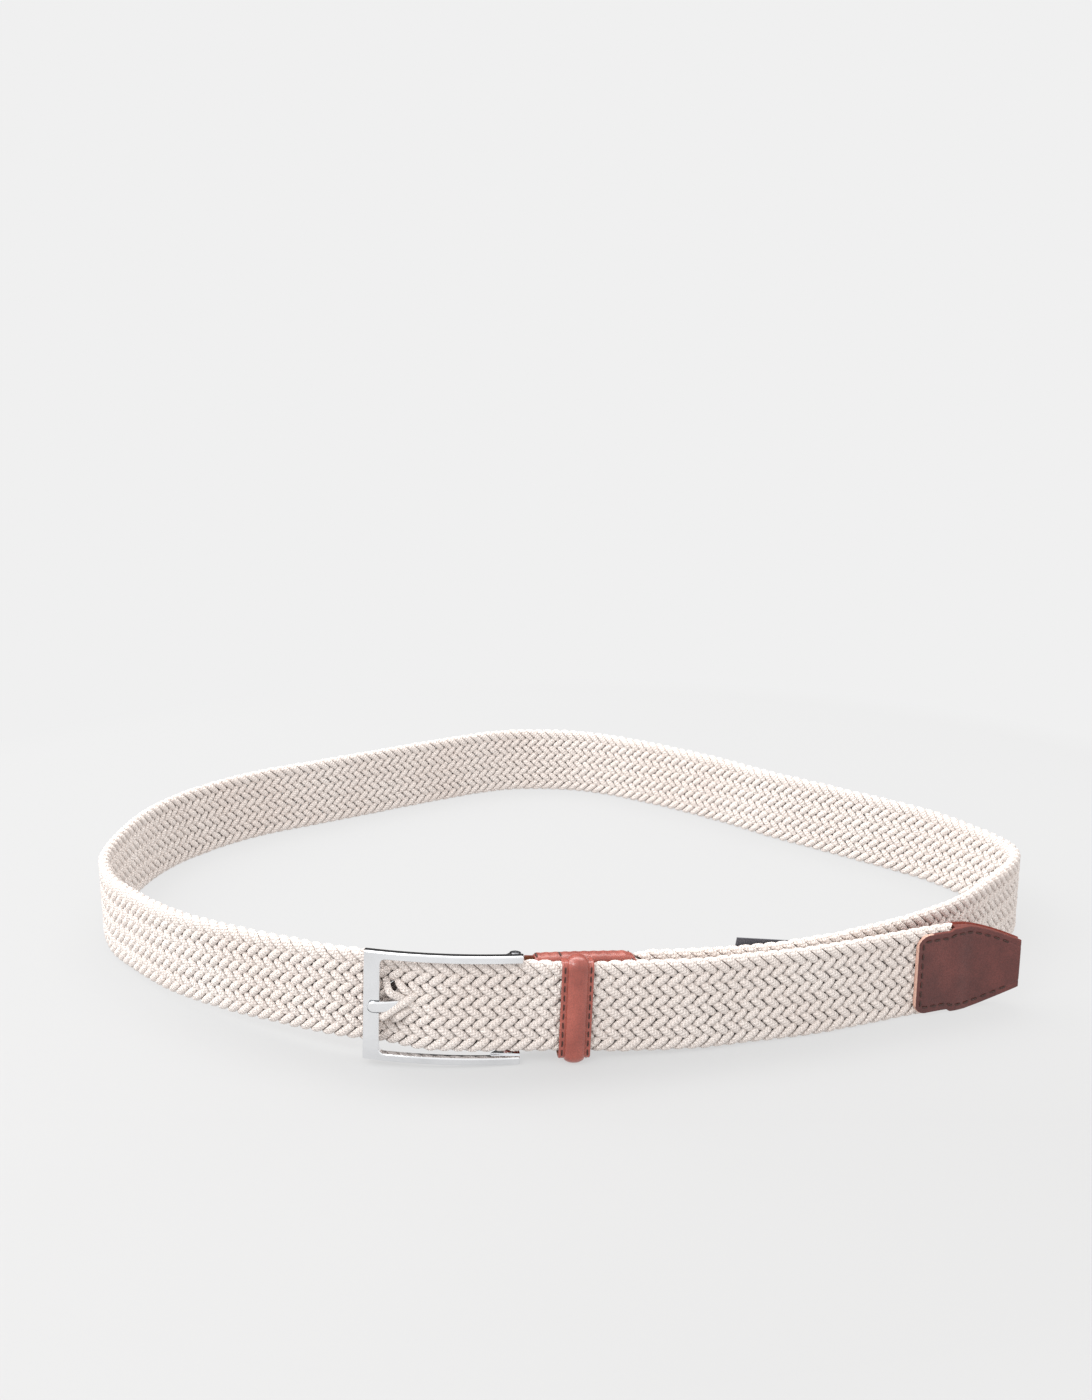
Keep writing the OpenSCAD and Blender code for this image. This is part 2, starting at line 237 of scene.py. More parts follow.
class Paint:
    """A small helper that builds one material's node tree."""

    def __init__(self, name):
        self.material = bpy.data.materials.new(name)
        self.material.use_nodes = True
        self.tree = self.material.node_tree
        self.surface = self.tree.nodes["Principled BSDF"]

    def node(self, kind, values=(), links=(), **settings):
        return add_node(self.tree, kind, values, links, **settings)

    def math(self, operation, a, b=None):
        n = self.tree.nodes.new("ShaderNodeMath")
        n.operation = operation
        for i, x in enumerate((a, b)):
            if x is None:
                continue
            if isinstance(x, (int, float)):
                n.inputs[i].default_value = x
            else:
                self.tree.links.new(x, n.inputs[i])
        return n.outputs[0]

    def place(self, stretch=None):
        """Object coordinates, stretched where a scale for each axis is given."""
        place = self.node("ShaderNodeTexCoord").outputs["Object"]
        if stretch:
            place = self.node("ShaderNodeMapping", {"Scale": stretch}, {"Vector": place}).outputs["Vector"]
        return place

    def noise(self, scale, detail=3.0, rough=0.5, stretch=None):
        place = self.place(stretch)
        n = self.node("ShaderNodeTexNoise", {"Scale": scale, "Detail": detail, "Roughness": rough},
                      {"Vector": place})
        return n.outputs["Fac"]

    def cells(self, scale, feature="F1"):
        n = self.node("ShaderNodeTexVoronoi", {"Scale": scale}, {"Vector": self.place()}, feature=feature)
        return n.outputs["Distance"]

    def spread(self, value, low, high, to_low, to_high):
        n = self.node("ShaderNodeMapRange",
                      {"From Min": low, "From Max": high, "To Min": to_low, "To Max": to_high},
                      {"Value": value})
        return n.outputs["Result"]

    def mix(self, factor, a, b):
        n = self.node("ShaderNodeMix", data_type="RGBA")
        for key, x in ((0, factor), (6, a), (7, b)):
            if isinstance(x, (int, float, tuple)):
                n.inputs[key].default_value = x
            else:
                self.tree.links.new(x, n.inputs[key])
        return n.outputs[2]

    def tones(self, value, dark, light, low=0.3, high=0.7):
        """Colours between two tones, as a value goes from low to high."""
        return self.mix(self.spread(value, low, high, 0, 1), linear(*dark), linear(*light))

    def colour(self, source):
        self.tree.links.new(source, self.surface.inputs["Base Color"])

    def roughness(self, source):
        self.tree.links.new(source, self.surface.inputs["Roughness"])

    def bump(self, height, distance, strength=1.0):
        n = self.node("ShaderNodeBump", {"Distance": distance, "Strength": strength}, {"Height": height})
        self.tree.links.new(n.outputs["Normal"], self.surface.inputs["Normal"])

    def set(self, **values):
        for key, value in values.items():
            self.surface.inputs[key.replace("_", " ")].default_value = value


def cord_material():
    """Knitted sheath of one elastic cord: rows of small chevrons along it, with painted shade in the knit's
    grooves and where the cord dives into the weave.
    """
    p = Paint("braid_cord")
    uv = p.node("ShaderNodeUVMap", uv_map="cord").outputs["UV"]
    split = p.node("ShaderNodeSeparateXYZ", links={"Vector": uv})
    column = p.math("PINGPONG", p.math("MULTIPLY", split.outputs["Y"], 0.62), 0.5)
    phase = p.math("ADD", p.math("MULTIPLY", split.outputs["X"], 0.85), p.math("MULTIPLY", column, 1.1))
    knit = p.math("SINE", p.math("MULTIPLY", phase, 2 * math.pi))
    rows = p.math("SINE", p.math("MULTIPLY", column, 4 * math.pi))
    height = p.math("ADD", p.math("MULTIPLY", knit, 0.6), p.math("MULTIPLY", rows, 0.25))
    height = p.math("ADD", height, p.math("MULTIPLY", p.noise(2600, 2), 0.8))
    hollow = p.node("ShaderNodeAttribute", attribute_name="hollow").outputs["Fac"]
    base = p.tones(p.noise(28, 3), (251, 242, 236), (245, 233, 226))
    # Painted shade: the knit's low rows are mixed towards a darker brown.
    base = p.mix(p.spread(knit, -1, 1, 0.32, 0), base, linear(182, 164, 150))
    # Painted shade: the hollow weight darkens the cord's colour where it lies deep in the weave.
    base = p.mix(p.spread(hollow, 0.15, 0.9, 0, 0.93), base, linear(78, 67, 62))
    p.colour(base)
    p.roughness(p.spread(height, -1, 1, 0.94, 0.78))
    p.bump(height, 0.00024, 1.0)
    p.set(Sheen_Weight=0.25, Sheen_Roughness=0.5, Specular_IOR_Level=0.25)
    return p.material


def leather_material(name, dark, light, grain=1500, gloss=0.5, depth=0.00007, polish=0.0):
    """Grained leather: pebbles with fine creases, cloudy dye and slightly polished high spots."""
    p = Paint(name)
    cloud = p.noise(90, 4, 0.55)
    pebble = p.cells(grain)
    crease = p.cells(grain * 0.45, "DISTANCE_TO_EDGE")
    fine = p.noise(grain * 2.2, 3)
    base = p.tones(cloud, dark, light, 0.32, 0.68)
    base = p.mix(p.spread(pebble, 0.25, 0.75, 0, 0.35), base, linear(*[c * 0.55 for c in dark]))
    p.colour(base)
    p.roughness(p.spread(p.math("ADD", fine, pebble), 0.4, 1.3, gloss - 0.1, gloss + 0.14))
    creased = p.math("MULTIPLY", p.math("MINIMUM", crease, 0.12), 4.0)
    height = p.math("SUBTRACT", p.math("ADD", creased, p.math("MULTIPLY", fine, 0.35)), pebble)
    p.bump(height, depth, 0.9)
    p.set(Specular_IOR_Level=0.45, Coat_Weight=polish, Coat_Roughness=0.2)
    return p.material


def edge_material(name, dark, light):
    """Cut leather edge: fibres in thin layers under a worn dye."""
    p = Paint(name)
    fibre = p.noise(1900, 4, 0.6, (1.0, 3.0, 0.4))
    p.colour(p.tones(fibre, dark, light))
    p.roughness(p.spread(fibre, 0.3, 0.7, 0.6, 0.85))
    p.bump(fibre, 0.0001, 0.8)
    return p.material


def thread_material():
    """Waxed twisted thread, near black with brown fibres."""
    p = Paint("thread")
    uv = p.node("ShaderNodeUVMap", uv_map="cord").outputs["UV"]
    split = p.node("ShaderNodeSeparateXYZ", links={"Vector": uv})
    twist = p.math("SINE", p.math("MULTIPLY", p.math("ADD", split.outputs["X"], split.outputs["Y"]), 9.0))
    fibre = p.noise(3000, 2)
    p.colour(p.tones(p.math("ADD", twist, fibre), (34, 20, 18), (84, 52, 44), -0.8, 1.6))
    p.roughness(p.spread(fibre, 0.3, 0.7, 0.45, 0.7))
    p.bump(twist, 0.00006, 0.8)
    return p.material


def metal_material(name, colour, low, high, brushed=0.0):
    """Plated metal with a faint polish haze and hairline scratches."""
    p = Paint(name)
    scratch = p.noise(900, 5, 0.7, (1.0, 1.0, 14.0))
    haze = p.noise(60, 3)
    p.colour(p.tones(haze, colour, [c * 0.94 for c in colour]))
    p.roughness(p.spread(p.math("ADD", scratch, haze), 0.6, 1.4, low, high))
    p.bump(scratch, 0.000004 + brushed, 0.25)
    p.set(Metallic=1.0)
    return p.material


def cloth_material(name, dark, light, threads):
    """Plain weave of fine yarns, for tape, padding and the label."""
    p = Paint(name)
    split = p.node("ShaderNodeSeparateXYZ", links={"Vector": p.place()})
    warp = p.math("SINE", p.math("MULTIPLY", split.outputs["X"], threads))
    weft = p.math("SINE", p.math("MULTIPLY", split.outputs["Z"], threads))
    weave = p.math("MULTIPLY", warp, weft)
    cloud = p.noise(260, 3)
    mixed = p.math("ADD", p.math("MULTIPLY", weave, 0.3), cloud)
    p.colour(p.tones(mixed, dark, light, 0.2, 0.9))
    p.roughness(p.spread(weave, -1, 1, 0.95, 0.8))
    p.bump(weave, 0.00006, 0.8)
    p.set(Sheen_Weight=0.15)
    return p.material


CORD = cord_material()
KEEPER_LEATHER = leather_material("keeper_leather", (150, 68, 55), (184, 92, 76), 2300, 0.32, 0.00004, 0.8)
CHAPE_LEATHER = leather_material("chape_leather", (146, 68, 56), (176, 92, 78), 2100, 0.36, 0.00005, 0.5)
TIP_LEATHER = leather_material("tip_leather", (88, 40, 36), (112, 54, 48), 1900, 0.40, 0.00006, 0.25)
LINING_LEATHER = leather_material("lining_leather", (150, 92, 66), (172, 112, 84), 2400, 0.62, 0.00004)
PAINTED_EDGE = edge_material("painted_edge", (92, 40, 33), (120, 56, 46))
RAW_EDGE = edge_material("raw_edge", (196, 150, 134), (222, 182, 164))
THREAD = thread_material()
CHROME = metal_material("chrome", (244, 245, 247), 0.05, 0.13)
STEEL = metal_material("steel", (205, 207, 212), 0.18, 0.32, 0.000004)
TAPE = cloth_material("binding_tape", (196, 184, 166), (222, 212, 196), 9000)
PADDING = cloth_material("padding", (206, 192, 166), (230, 218, 196), 4200)
LABEL = cloth_material("label_fabric", (62, 62, 68), (88, 88, 95), 12000)


# ---------------------------------------------------------------- mesh helpers

def new_object(name, data):
    """An object in the scene, with its mesh, curve, light or camera."""
    obj = bpy.data.objects.new(name, data)
    bpy.context.scene.collection.objects.link(obj)
    return obj


def make(name, verts, faces, materials, body=None, face_materials=None, uvs=None, angle=38):
    """A mesh object from points in millimetres; uvs has one pair for each corner of each face."""
    mesh = bpy.data.meshes.new(name)
    mesh.from_pydata((np.asarray(verts, float).reshape(-1, 3) * MM).tolist(), [], faces)
    for m in materials:
        mesh.materials.append(m)
    if face_materials is not None:
        mesh.polygons.foreach_set("material_index", np.asarray(face_materials, np.int32))
    if uvs is not None:
        layer = mesh.uv_layers.new(name="cord")
        layer.data.foreach_set("uv", np.asarray(uvs, np.float32).ravel())
    mesh.validate()
    mesh.shade_smooth()
    mesh.set_sharp_from_angle(angle=math.radians(angle))
    obj = new_object(name, mesh)
    if body:
        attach(obj, body)
    return obj


def grid_faces(rows, columns, start=0, closed=True):
    """Quads between rings of points, row by row."""
    i, j = np.meshgrid(np.arange(rows - 1), np.arange(columns if closed else columns - 1), indexing="ij")
    k = (j + 1) % columns
    quads = np.stack([i * columns + j, i * columns + k, (i + 1) * columns + k, (i + 1) * columns + j], -1)
    return quads.reshape(-1, 4) + start


def loft(rings):
    """Closed solid through rings of points: its points and faces, with both ends capped."""
    rings = np.asarray(rings, float)
    rows, columns = rings.shape[:2]
    faces = grid_faces(rows, columns).tolist()
    faces.append(list(range(columns))[::-1])
    faces.append(list(range((rows - 1) * columns, rows * columns)))
    return rings.reshape(-1, 3), faces


def face_out(obj):
    """Turns all faces outward."""
    bm = bmesh.new()
    bm.from_mesh(obj.data)
    bmesh.ops.recalc_face_normals(bm, faces=bm.faces)
    bm.to_mesh(obj.data)
    bm.free()
    return obj


def finish_piece(obj, slot, *nodes):
    """Hides the CAD nodes that a piece stands for and returns the piece; the slot argument is not used."""
    if nodes:
        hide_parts(*nodes)
    return obj


def turns(count):
    """Angles evenly round a circle."""
    return 2 * math.pi * np.arange(count) / count


def squared(x, power):
    """Swells a sine or cosine towards 1 and -1, which makes a circle into a rounded square."""
    return np.sign(x) * np.abs(x) ** power


def rounded(e, r):
    """How far a surface falls within r of its edge, at distance e from the edge."""
    t = 1 - np.clip(e, 0, r) / r
    return r * (1 - np.sqrt(np.maximum(0, 1 - t * t)))


def edge_marks(half, inset):
    """Places across a strip from -half to half, close together at its edges and its stitch lines."""
    near = np.array([0, 0.06, 0.16, 0.3, 0.5, 0.9, 1.3])
    line = inset + np.array([-0.7, -0.4, -0.15, 0.15, 0.4, 0.7])
    sides = np.concatenate([near, line])
    inner = half - inset - 1.2
    return np.concatenate([-half + sides, np.linspace(-inner, inner, 17), half - sides[::-1]])


def is_rim(j, columns):
    """Whether a column of faces is on a leather's cut edge: its rings end with the 9 points of its inside."""
    outer_n = columns - 9
    return j in (0, 1, outer_n - 3, outer_n - 2, outer_n - 1, columns - 1)


def wobble(rng, period, size, count=4):
    """A smooth random function of one number, with a given wavelength and size."""
    waves = rng.uniform(0.6, 1.6, count) * 2 * math.pi / period
    starts = rng.uniform(0, 2 * math.pi, count)
    sizes = rng.uniform(0.5, 1.0, count)
    sizes *= size / np.linalg.norm(sizes)
    return lambda x: sum(a * np.sin(w * x + b) for a, w, b in zip(sizes, waves, starts))


# ---------------------------------------------------------------- the braid

# A cord goes up the strap's face and down it again in 34 phases, two for each of the 17 cords
CORDS = 17
PHASES = 34
PHASE_L = 2.35
PHASE_V = 1.905
RAISE = 0.45
RING_STEP = PHASE_L / 4
SIDES = 8
CORD_W = 2.98
CORD_T = 2.2
CORD_H = 1.05

# Where the prong comes out through the weave
CROSS_X = -53.4


def prong_y(x):
    """The prong's middle line, in buckle coordinates: behind the strap, then out through the weave."""
    return -1.1 - 7.1 * smooth((-x - 24.5) / 21)


def cord_across(phase):
    """Height of a cord over the strap's middle, with round turns at the strap's edges."""
    turn = 0.45

    def near(d):
        return turn * np.log(np.cosh(d / turn)) + turn * math.log(2)

    top = np.abs(phase - 17)
    bottom = np.minimum(phase, PHASES - phase)
    return np.where(top < 8.5, 8.5 - near(top), near(bottom) - 8.5) * PHASE_V


def cord_side(phase):
    """Which side of the strap a cord is on, from -1 inside to 1 outside: over two, under two."""
    p = np.where(phase < 1.5, phase + PHASES, phase)
    rise, fall = np.cos(math.pi * (p - 1.5) / 2), np.cos(math.pi * (p - 18.5) / 2)
    top, bottom = -np.cos(math.pi * (p - 15.5) / 3), -np.cos(math.pi * (p - 32.5) / 3)
    return np.select([p < 15.5, p < 18.5, p < 32.5], [rise, top, fall], bottom)


def cord_turn(phase):
    """The cord's roll: its flat side follows the strap's face and turns over at each edge."""
    p = np.where(phase < 8.5, phase + PHASES, phase)
    return math.pi * (smooth((p - 15.6) / 2.8) - smooth((p - 32.6) / 2.8))


def cord_centre(k, s, noises):
    """A cord's phase, its height, depth and side in the strap, and its shift where the prong parts it."""
    phase = (s / PHASE_L + 2 * k) % PHASES
    v = cord_across(phase)
    side = cord_side(phase)
    h = CORD_H * np.tanh(2 * side) / math.tanh(2)
    x = middle(s)[:, 0]
    in_chape = smooth((FOLD_S + FLAP_L + 4 - s) / 8)
    in_keeper = np.exp(-((s - KEEPER_S) / 10) ** 2)
    narrow = 1 - 0.12 * in_chape - 0.05 * in_keeper
    v = v * narrow + noises[0](s)
    h = h + noises[1](s)
    shift = np.zeros_like(s)
    near_prong = (s > LOOP_END_S) & (s < HEEL_S)
    if near_prong.any():
        front_s = FINE_S[FINE_S > LOOP_END_S]
        crossing = float(np.interp(CROSS_X, middle(front_s)[:, 0], front_s))
        # Where this run of the cord meets the prong's line, and so whether it lies in front of it
        up = phase < 17
        meet = s - np.where(up, phase - 8.5, phase - 25.5) * PHASE_L
        front = np.where(meet > crossing, 1.0, -1.0)
        behind = -(prong_y(x - HEEL[0]) + HEEL[1]) + middle(s)[:, 1]
        beside = smooth((7.5 - np.abs(v)) / 4.5)
        reach = np.exp(-((meet - crossing) / 7.5) ** 2)
        clear = front * (PRONG_T / 2 + 0.4) + 0.5 * (front * CORD_H + h)
        close = beside * smooth((12 - abs(s - crossing)) / 5)
        push = np.maximum(0, front * (behind + clear - h)) * close
        h = h + np.where(near_prong, front * push, 0)
        shift = np.where(near_prong, front * 0.3 * reach * beside, 0)
    return phase, v, h, side, shift


def cord_rings(k, s, noises):
    """Rings of points of one cord, with their places along and round it, and how deep each point lies, as the
    weight of the painted shade in the weave.
    """
    phase, v, h, side, shift = cord_centre(k, s, noises)
    place = s + shift
    centre = on_strap(place, h, STRAP_W / 2 + RAISE + v)
    eps = 0.2
    _, v2, h2, _, shift2 = cord_centre(k, s + eps, noises)
    _, v1, h1, _, shift1 = cord_centre(k, s - eps, noises)
    ahead = on_strap(s + eps + shift2, h2, STRAP_W / 2 + v2)
    tangent = ahead - on_strap(s - eps + shift1, h1, STRAP_W / 2 + v1)
    tangent /= np.linalg.norm(tangent, axis=1, keepdims=True)
    roll = cord_turn(phase)
    face = -np.cos(roll)[:, None] * outward(place) + np.sin(roll)[:, None] * np.array([0, 0, 1.0])
    across = np.cross(tangent, face)
    across /= np.linalg.norm(across, axis=1, keepdims=True)
    face = np.cross(across, tangent)
    plump = np.abs(np.tanh(2 * side))
    wide = CORD_W / 2 * (0.93 + 0.07 * plump + noises[2](s))
    thick = CORD_T / 2 * (0.95 + 0.06 * plump + 0.5 * noises[2](s + 40))
    angle = 2 * math.pi * (np.arange(SIDES) + 0.5) / SIDES
    ca, sa = squared(np.cos(angle), 0.86), squared(np.sin(angle), 0.86)
    rings = (centre[:, None] + across[:, None] * (wide[:, None] * ca)[..., None]
             + face[:, None] * (thick[:, None] * sa)[..., None])
    # Painted shade weight: largest near the strap's middle and away from its edges, where the cords lie deep
    # in the weave.
    out = np.einsum("ijk,ik->ij", rings - middle(place)[:, None], outward(place))
    high = np.abs(rings[:, :, 2] - middle(place)[:, None, 2] - STRAP_W / 2 - RAISE)
    hollow = smooth((1.75 - np.abs(out)) / 1.3) * smooth((STRAP_W / 2 - 0.3 - high) / 1.6)
    length = np.concatenate([[0], np.cumsum(np.linalg.norm(np.diff(centre, axis=0), axis=1))])
    return rings, length, hollow


def braid_piece(name, a, b, body=None):
    """All the cords between two places along the strap, as closed tubes in one mesh."""
    steps = np.arange(round(a / RING_STEP), round(b / RING_STEP) + 1)
    s = steps * RING_STEP
    verts, faces, uvs, painted_crevice_shade = [], [], [], []
    start = 0
    girth = math.pi * (CORD_W + CORD_T) / 2
    for k in range(CORDS):
        rng = np.random.default_rng(100 + k)
        noises = [wobble(rng, 40, 0.07), wobble(rng, 26, 0.04), wobble(rng, 30, 0.022)]
        rings, length, hollow = cord_rings(k, s, noises)
        rows = len(s)
        quads = grid_faces(rows, SIDES, start)
        along_uv = length[(quads - start) // SIDES]
        columns = np.tile(np.arange(SIDES), rows - 1)
        round_uv = np.stack([columns, columns + 1, columns + 1, columns], -1) * girth / SIDES
        uvs.append(np.stack([along_uv, round_uv], -1).reshape(-1, 2))
        faces.extend(quads.tolist())
        for ring, order in ((0, -1), (rows - 1, 1)):
            cap = (start + ring * SIDES + np.arange(SIDES))[::order]
            faces.append(cap.tolist())
            uvs.append(np.column_stack([np.full(SIDES, length[ring]), np.arange(SIDES) * 0.3]))
        verts.append(rings.reshape(-1, 3))
        painted_crevice_shade.append(hollow.ravel())
        start += rows * SIDES
    obj = make(name, np.concatenate(verts), faces, [CORD], body, uvs=np.concatenate(uvs), angle=80)
    # Painted crevice shade for the cord material, one weight for each point.
    attribute = obj.data.attributes.new("hollow", "FLOAT", "POINT")
    attribute.data.foreach_set("value", np.concatenate(painted_crevice_shade).astype(np.float32))
    return obj


def place_on(s):
    """The strap's middle at one place, in metres."""
    return tuple(float(x) * MM for x in on_strap(s, 0, STRAP_W / 2))


LEFT_S = knot_s(29) + 8
cuts = [BUTT_S + 0.4, 215, 430, 645, LEFT_S]
for i in range(4):
    piece = braid_piece("braid_loop_%d" % (i + 1), cuts[i], cuts[i + 1], "strap")
    finish_piece(piece, "braid", "strap_loop")

braid_left = braid_piece("braid_left", LEFT_S, LOOP_END_S)
place_on(knot_s(29) + 12)
place_on(LOOP_END_S - 2)
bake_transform(braid_left)
finish_piece(braid_left, "braid", "strap_loop")

braid_buckle = braid_piece("braid_in_buckle", LOOP_END_S, TAIL_S - 2)
place_on(HEEL_S - 9)
place_on(HEEL_S + 9)
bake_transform(braid_buckle)
finish_piece(braid_buckle, "braid", "strap_in_buckle", "strap_under_keeper")

braid_tail = braid_piece("braid_tail", TAIL_S - 2, BRAID_END_S - 0.4)
place_on(TAIL_S - 1)
place_on(TAIL_S + 56)
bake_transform(braid_tail)
finish_piece(braid_tail, "braid", "strap_tail")


def tape_cap(name, s, side, body, node):
    """Stitched tape over the cords' cut ends, folded to both faces."""
    angle = turns(40)
    out = squared(np.cos(angle), 0.35) * STRAP_T / 2
    up = STRAP_W / 2 + squared(np.sin(angle), 0.3) * (STRAP_W / 2 - 1.4)
    rings = [on_strap(s + side * d, out * k, STRAP_W / 2 + (up - STRAP_W / 2) * (1 - (1 - k) * 0.1))
             for d, k in ((0, 0.92), (0.1, 1.0), (0.35, 1.0), (0.48, 0.9), (0.52, 0.6))]
    return finish_piece(face_out(make(name, *loft(rings), [TAPE], body)), "binding_tape", node)


tape_cap("binding_buckle_end", BUTT_S, -1, "strap", "braid_binding_buckle_end")
tape_cap("binding_tip_end", BRAID_END_S, 1, "tail", "braid_binding_tip_end")


# ---------------------------------------------------------------- sewing

def stitch_tubes(name, seams, body, slot_nodes, width=THREAD_D, sink=0.32):
    """Threads that dive into the leather: each seam has a middle, a direction, a normal and a length."""
    verts, faces, uvs = [], [], []
    sides, rows = 7, 9
    rng = np.random.default_rng(7)
    for centre, direction, normal, length in seams:
        centre, d, n = (np.asarray(x, float) for x in (centre, direction, normal))
        d = d / np.linalg.norm(d)
        n = n - d * (n @ d)
        n /= np.linalg.norm(n)
        b = np.cross(d, n)
        turn = rng.uniform(-0.07, 0.07)
        d, b = d * math.cos(turn) + b * math.sin(turn), b * math.cos(turn) - d * math.sin(turn)
        start = len(verts) * sides
        for i in range(rows):
            t = i / (rows - 1) * 2 - 1
            r = width / 2 * (1 - 0.25 * abs(t) ** 3) * (0.3 if i in (0, rows - 1) else 1)
            p = centre + d * t * length / 2 - n * sink * abs(t) ** 4
            a = turns(sides)
            verts.append(p + (np.outer(np.cos(a), n * 0.85) + np.outer(np.sin(a), b)) * r)
        quads = grid_faces(rows, sides, start)
        faces.extend(quads.tolist())
        columns = np.tile(np.arange(sides), rows - 1)
        along_uv = ((quads - start) // sides) * length / rows
        round_uv = np.stack([columns, columns + 1, columns + 1, columns], -1) * 0.3
        uvs.append(np.stack([along_uv, round_uv], -1).reshape(-1, 2))
        for ring in (0, rows - 1):
            cap = start + ring * sides + np.arange(sides)
            faces.append((cap[::-1] if ring == 0 else cap).tolist())
            uvs.append(np.zeros((sides, 2)))
    obj = make(name, np.concatenate(verts), faces, [THREAD], body, uvs=np.concatenate(uvs), angle=70)
    face_out(obj)
    return finish_piece(obj, "thread", *slot_nodes)


# ---------------------------------------------------------------- keeper

KEEPER_IN_Y = STRAP_T + 2 * KEEPER_GAP
KEEPER_IN_Z = STRAP_W + 2 * KEEPER_GAP
KEEPER_FRONT = -STRAP_T / 2 - KEEPER_GAP
KEEPER_BACK = KEEPER_FRONT + KEEPER_IN_Y
KEEPER_FACE = LINING_T + KEEPER_T
STITCH_X = 4.35


def keeper_loop():
    """The keeper's inner outline in its own Y and Z, with the direction out of it at each point."""
    r = 0.9
    centre_y = KEEPER_FRONT + KEEPER_IN_Y / 2
    half_y, half_z = KEEPER_IN_Y / 2 - r, KEEPER_IN_Z / 2 - r
    points, normals = [], []
    corners = [(1, 1), (-1, 1), (-1, -1), (1, -1)]
    for i, (sy, sz) in enumerate(corners):
        for a in np.linspace(0, math.pi / 2, 9):
            angle = i * math.pi / 2 + a
            n = np.array([math.cos(angle), math.sin(angle)])
            points.append(np.array([centre_y + sy * half_y, sz * half_z]) + r * n)
            normals.append(n)
        ny, nz = corners[(i + 1) % 4]
        a, b = points[-1], np.array([centre_y + ny * half_y, nz * half_z]) + r * normals[-1]
        count = int(np.linalg.norm(b - a) / 0.9)
        for t in np.arange(1, count) / count:
            points.append(a + (b - a) * t)
            normals.append(normals[-1])
    return np.array(points), np.array(normals)


def keeper_height(x, place, behind):
    """Height of the keeper's outer face over its inner one: flat stitched rims and a padded ridge."""
    ridge = (1 - behind) * 1.35 * RIDGE_H * np.maximum(0, 1 - (np.abs(x) / (RIDGE_W / 2)) ** 2) ** 0.6
    valley = 0.16 * np.exp(-((np.abs(x) - RIDGE_W / 2 - 0.1) / 0.28) ** 2)
    channel = 0.13 * np.exp(-((np.abs(x) - STITCH_X) / 0.42) ** 2)
    hollow = 0.05 * np.sin(place * 1.79) * np.exp(-((np.abs(x) - STITCH_X + 0.5) / 0.8) ** 2)
    return KEEPER_FACE + ridge - valley - channel - hollow - rounded(KEEPER_W / 2 - np.abs(x), 0.42)


def keeper_band(name, height, floor, xs, materials):
    """A closed band round the strap: one ring of points across it at each place on its outline."""
    points, normals = keeper_loop()
    place = np.concatenate([[0], np.cumsum(np.linalg.norm(np.diff(points, axis=0), axis=1))])
    rings = []
    for p, n, t in zip(points, normals, place):
        h = height(xs, t, float(smooth((p[0] - 0.4) / 1.6)))
        top = np.column_stack([xs, p[0] + n[0] * h, p[1] + n[1] * h])
        low = floor + 0.05
        bottom = np.array([[x, p[0] + n[0] * f, p[1] + n[1] * f]
                           for x, f in ((xs[-1], low + 0.12), (xs[-1] - 0.15, floor), (0, floor),
                                        (xs[0] + 0.15, floor), (xs[0], low + 0.12))])
        rings.append(from_keeper(np.concatenate([top, bottom])))
    rings = np.array(rings)
    rows, columns = rings.shape[:2]
    faces = grid_faces(rows, columns).tolist()
    last = (rows - 1) * columns
    faces += [[last + j, last + (j + 1) % columns, (j + 1) % columns, j] for j in range(columns)]
    kinds = [0] * (len(xs) - 1) + [1, 2, 2, 2, 2, 1]
    obj = make(name, rings.reshape(-1, 3), faces, materials, "keeper", face_materials=np.tile(kinds, rows))
    return face_out(obj)


half_marks = np.concatenate([np.linspace(0, 2.6, 10), np.linspace(2.75, 3.4, 8), np.linspace(3.5, 3.8, 3),
                             np.linspace(3.95, 4.85, 7), [4.97, 5.1, 5.22, 5.32, 5.38, 5.4]])
keeper_xs = np.concatenate([-half_marks[:0:-1], half_marks])
keeper = keeper_band("keeper_leather_loop", keeper_height, 0.0, keeper_xs,
                     [KEEPER_LEATHER, PAINTED_EDGE, LINING_LEATHER])
finish_piece(keeper, "leather", "keeper_outer", "keeper_lining")


def padding_height(x, place, behind):
    return LINING_T + 0.1 + (0.65 - 0.35 * behind) * np.sqrt(np.maximum(0, 1 - (x / 2.6) ** 2))


padding = keeper_band("keeper_padding_cord", padding_height, LINING_T, np.linspace(-2.6, 2.6, 13),
                      [PADDING, PADDING, PADDING])
finish_piece(padding, "padding", "keeper_padding")

seams = []
inward = -outward(KEEPER_S)
upright = from_keeper([0, 0, 1]) - from_keeper([0, 0, 0])
front_y, back_y = KEEPER_FRONT - KEEPER_FACE - 0.02, KEEPER_BACK + KEEPER_FACE + 0.02
for x in (-STITCH_X, STITCH_X):
    for i in range(10):
        z = (i - 4.5) * 3.3
        seams.append((from_keeper([x, front_y, z]), upright, -inward, 2.5))
        seams.append((from_keeper([x, back_y, z]), upright, inward, 2.5))
stitch_tubes("keeper_stitches", seams, "keeper", ["keeper_thread"], 0.52)


def wire(name, points, radius, material, body):
    """A round wire through points in millimetres, as a mesh."""
    curve = bpy.data.curves.new(name, "CURVE")
    curve.dimensions = "3D"
    curve.bevel_depth = radius * MM
    curve.bevel_resolution = 3
    curve.use_fill_caps = True
    spline = curve.splines.new("BEZIER")
    spline.bezier_points.add(len(points) - 1)
    for point, place in zip(spline.bezier_points, points):
        point.co = Vector(place) * MM
        point.handle_left_type = point.handle_right_type = "AUTO"
    holder = new_object(name + "_curve", curve)
    mesh = bpy.data.meshes.new_from_object(holder.evaluated_get(bpy.context.evaluated_depsgraph_get()))
    bpy.data.objects.remove(holder)
    mesh.name = name
    mesh.materials.clear()
    mesh.materials.append(material)
    mesh.shade_smooth()
    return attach(new_object(name, mesh), body)


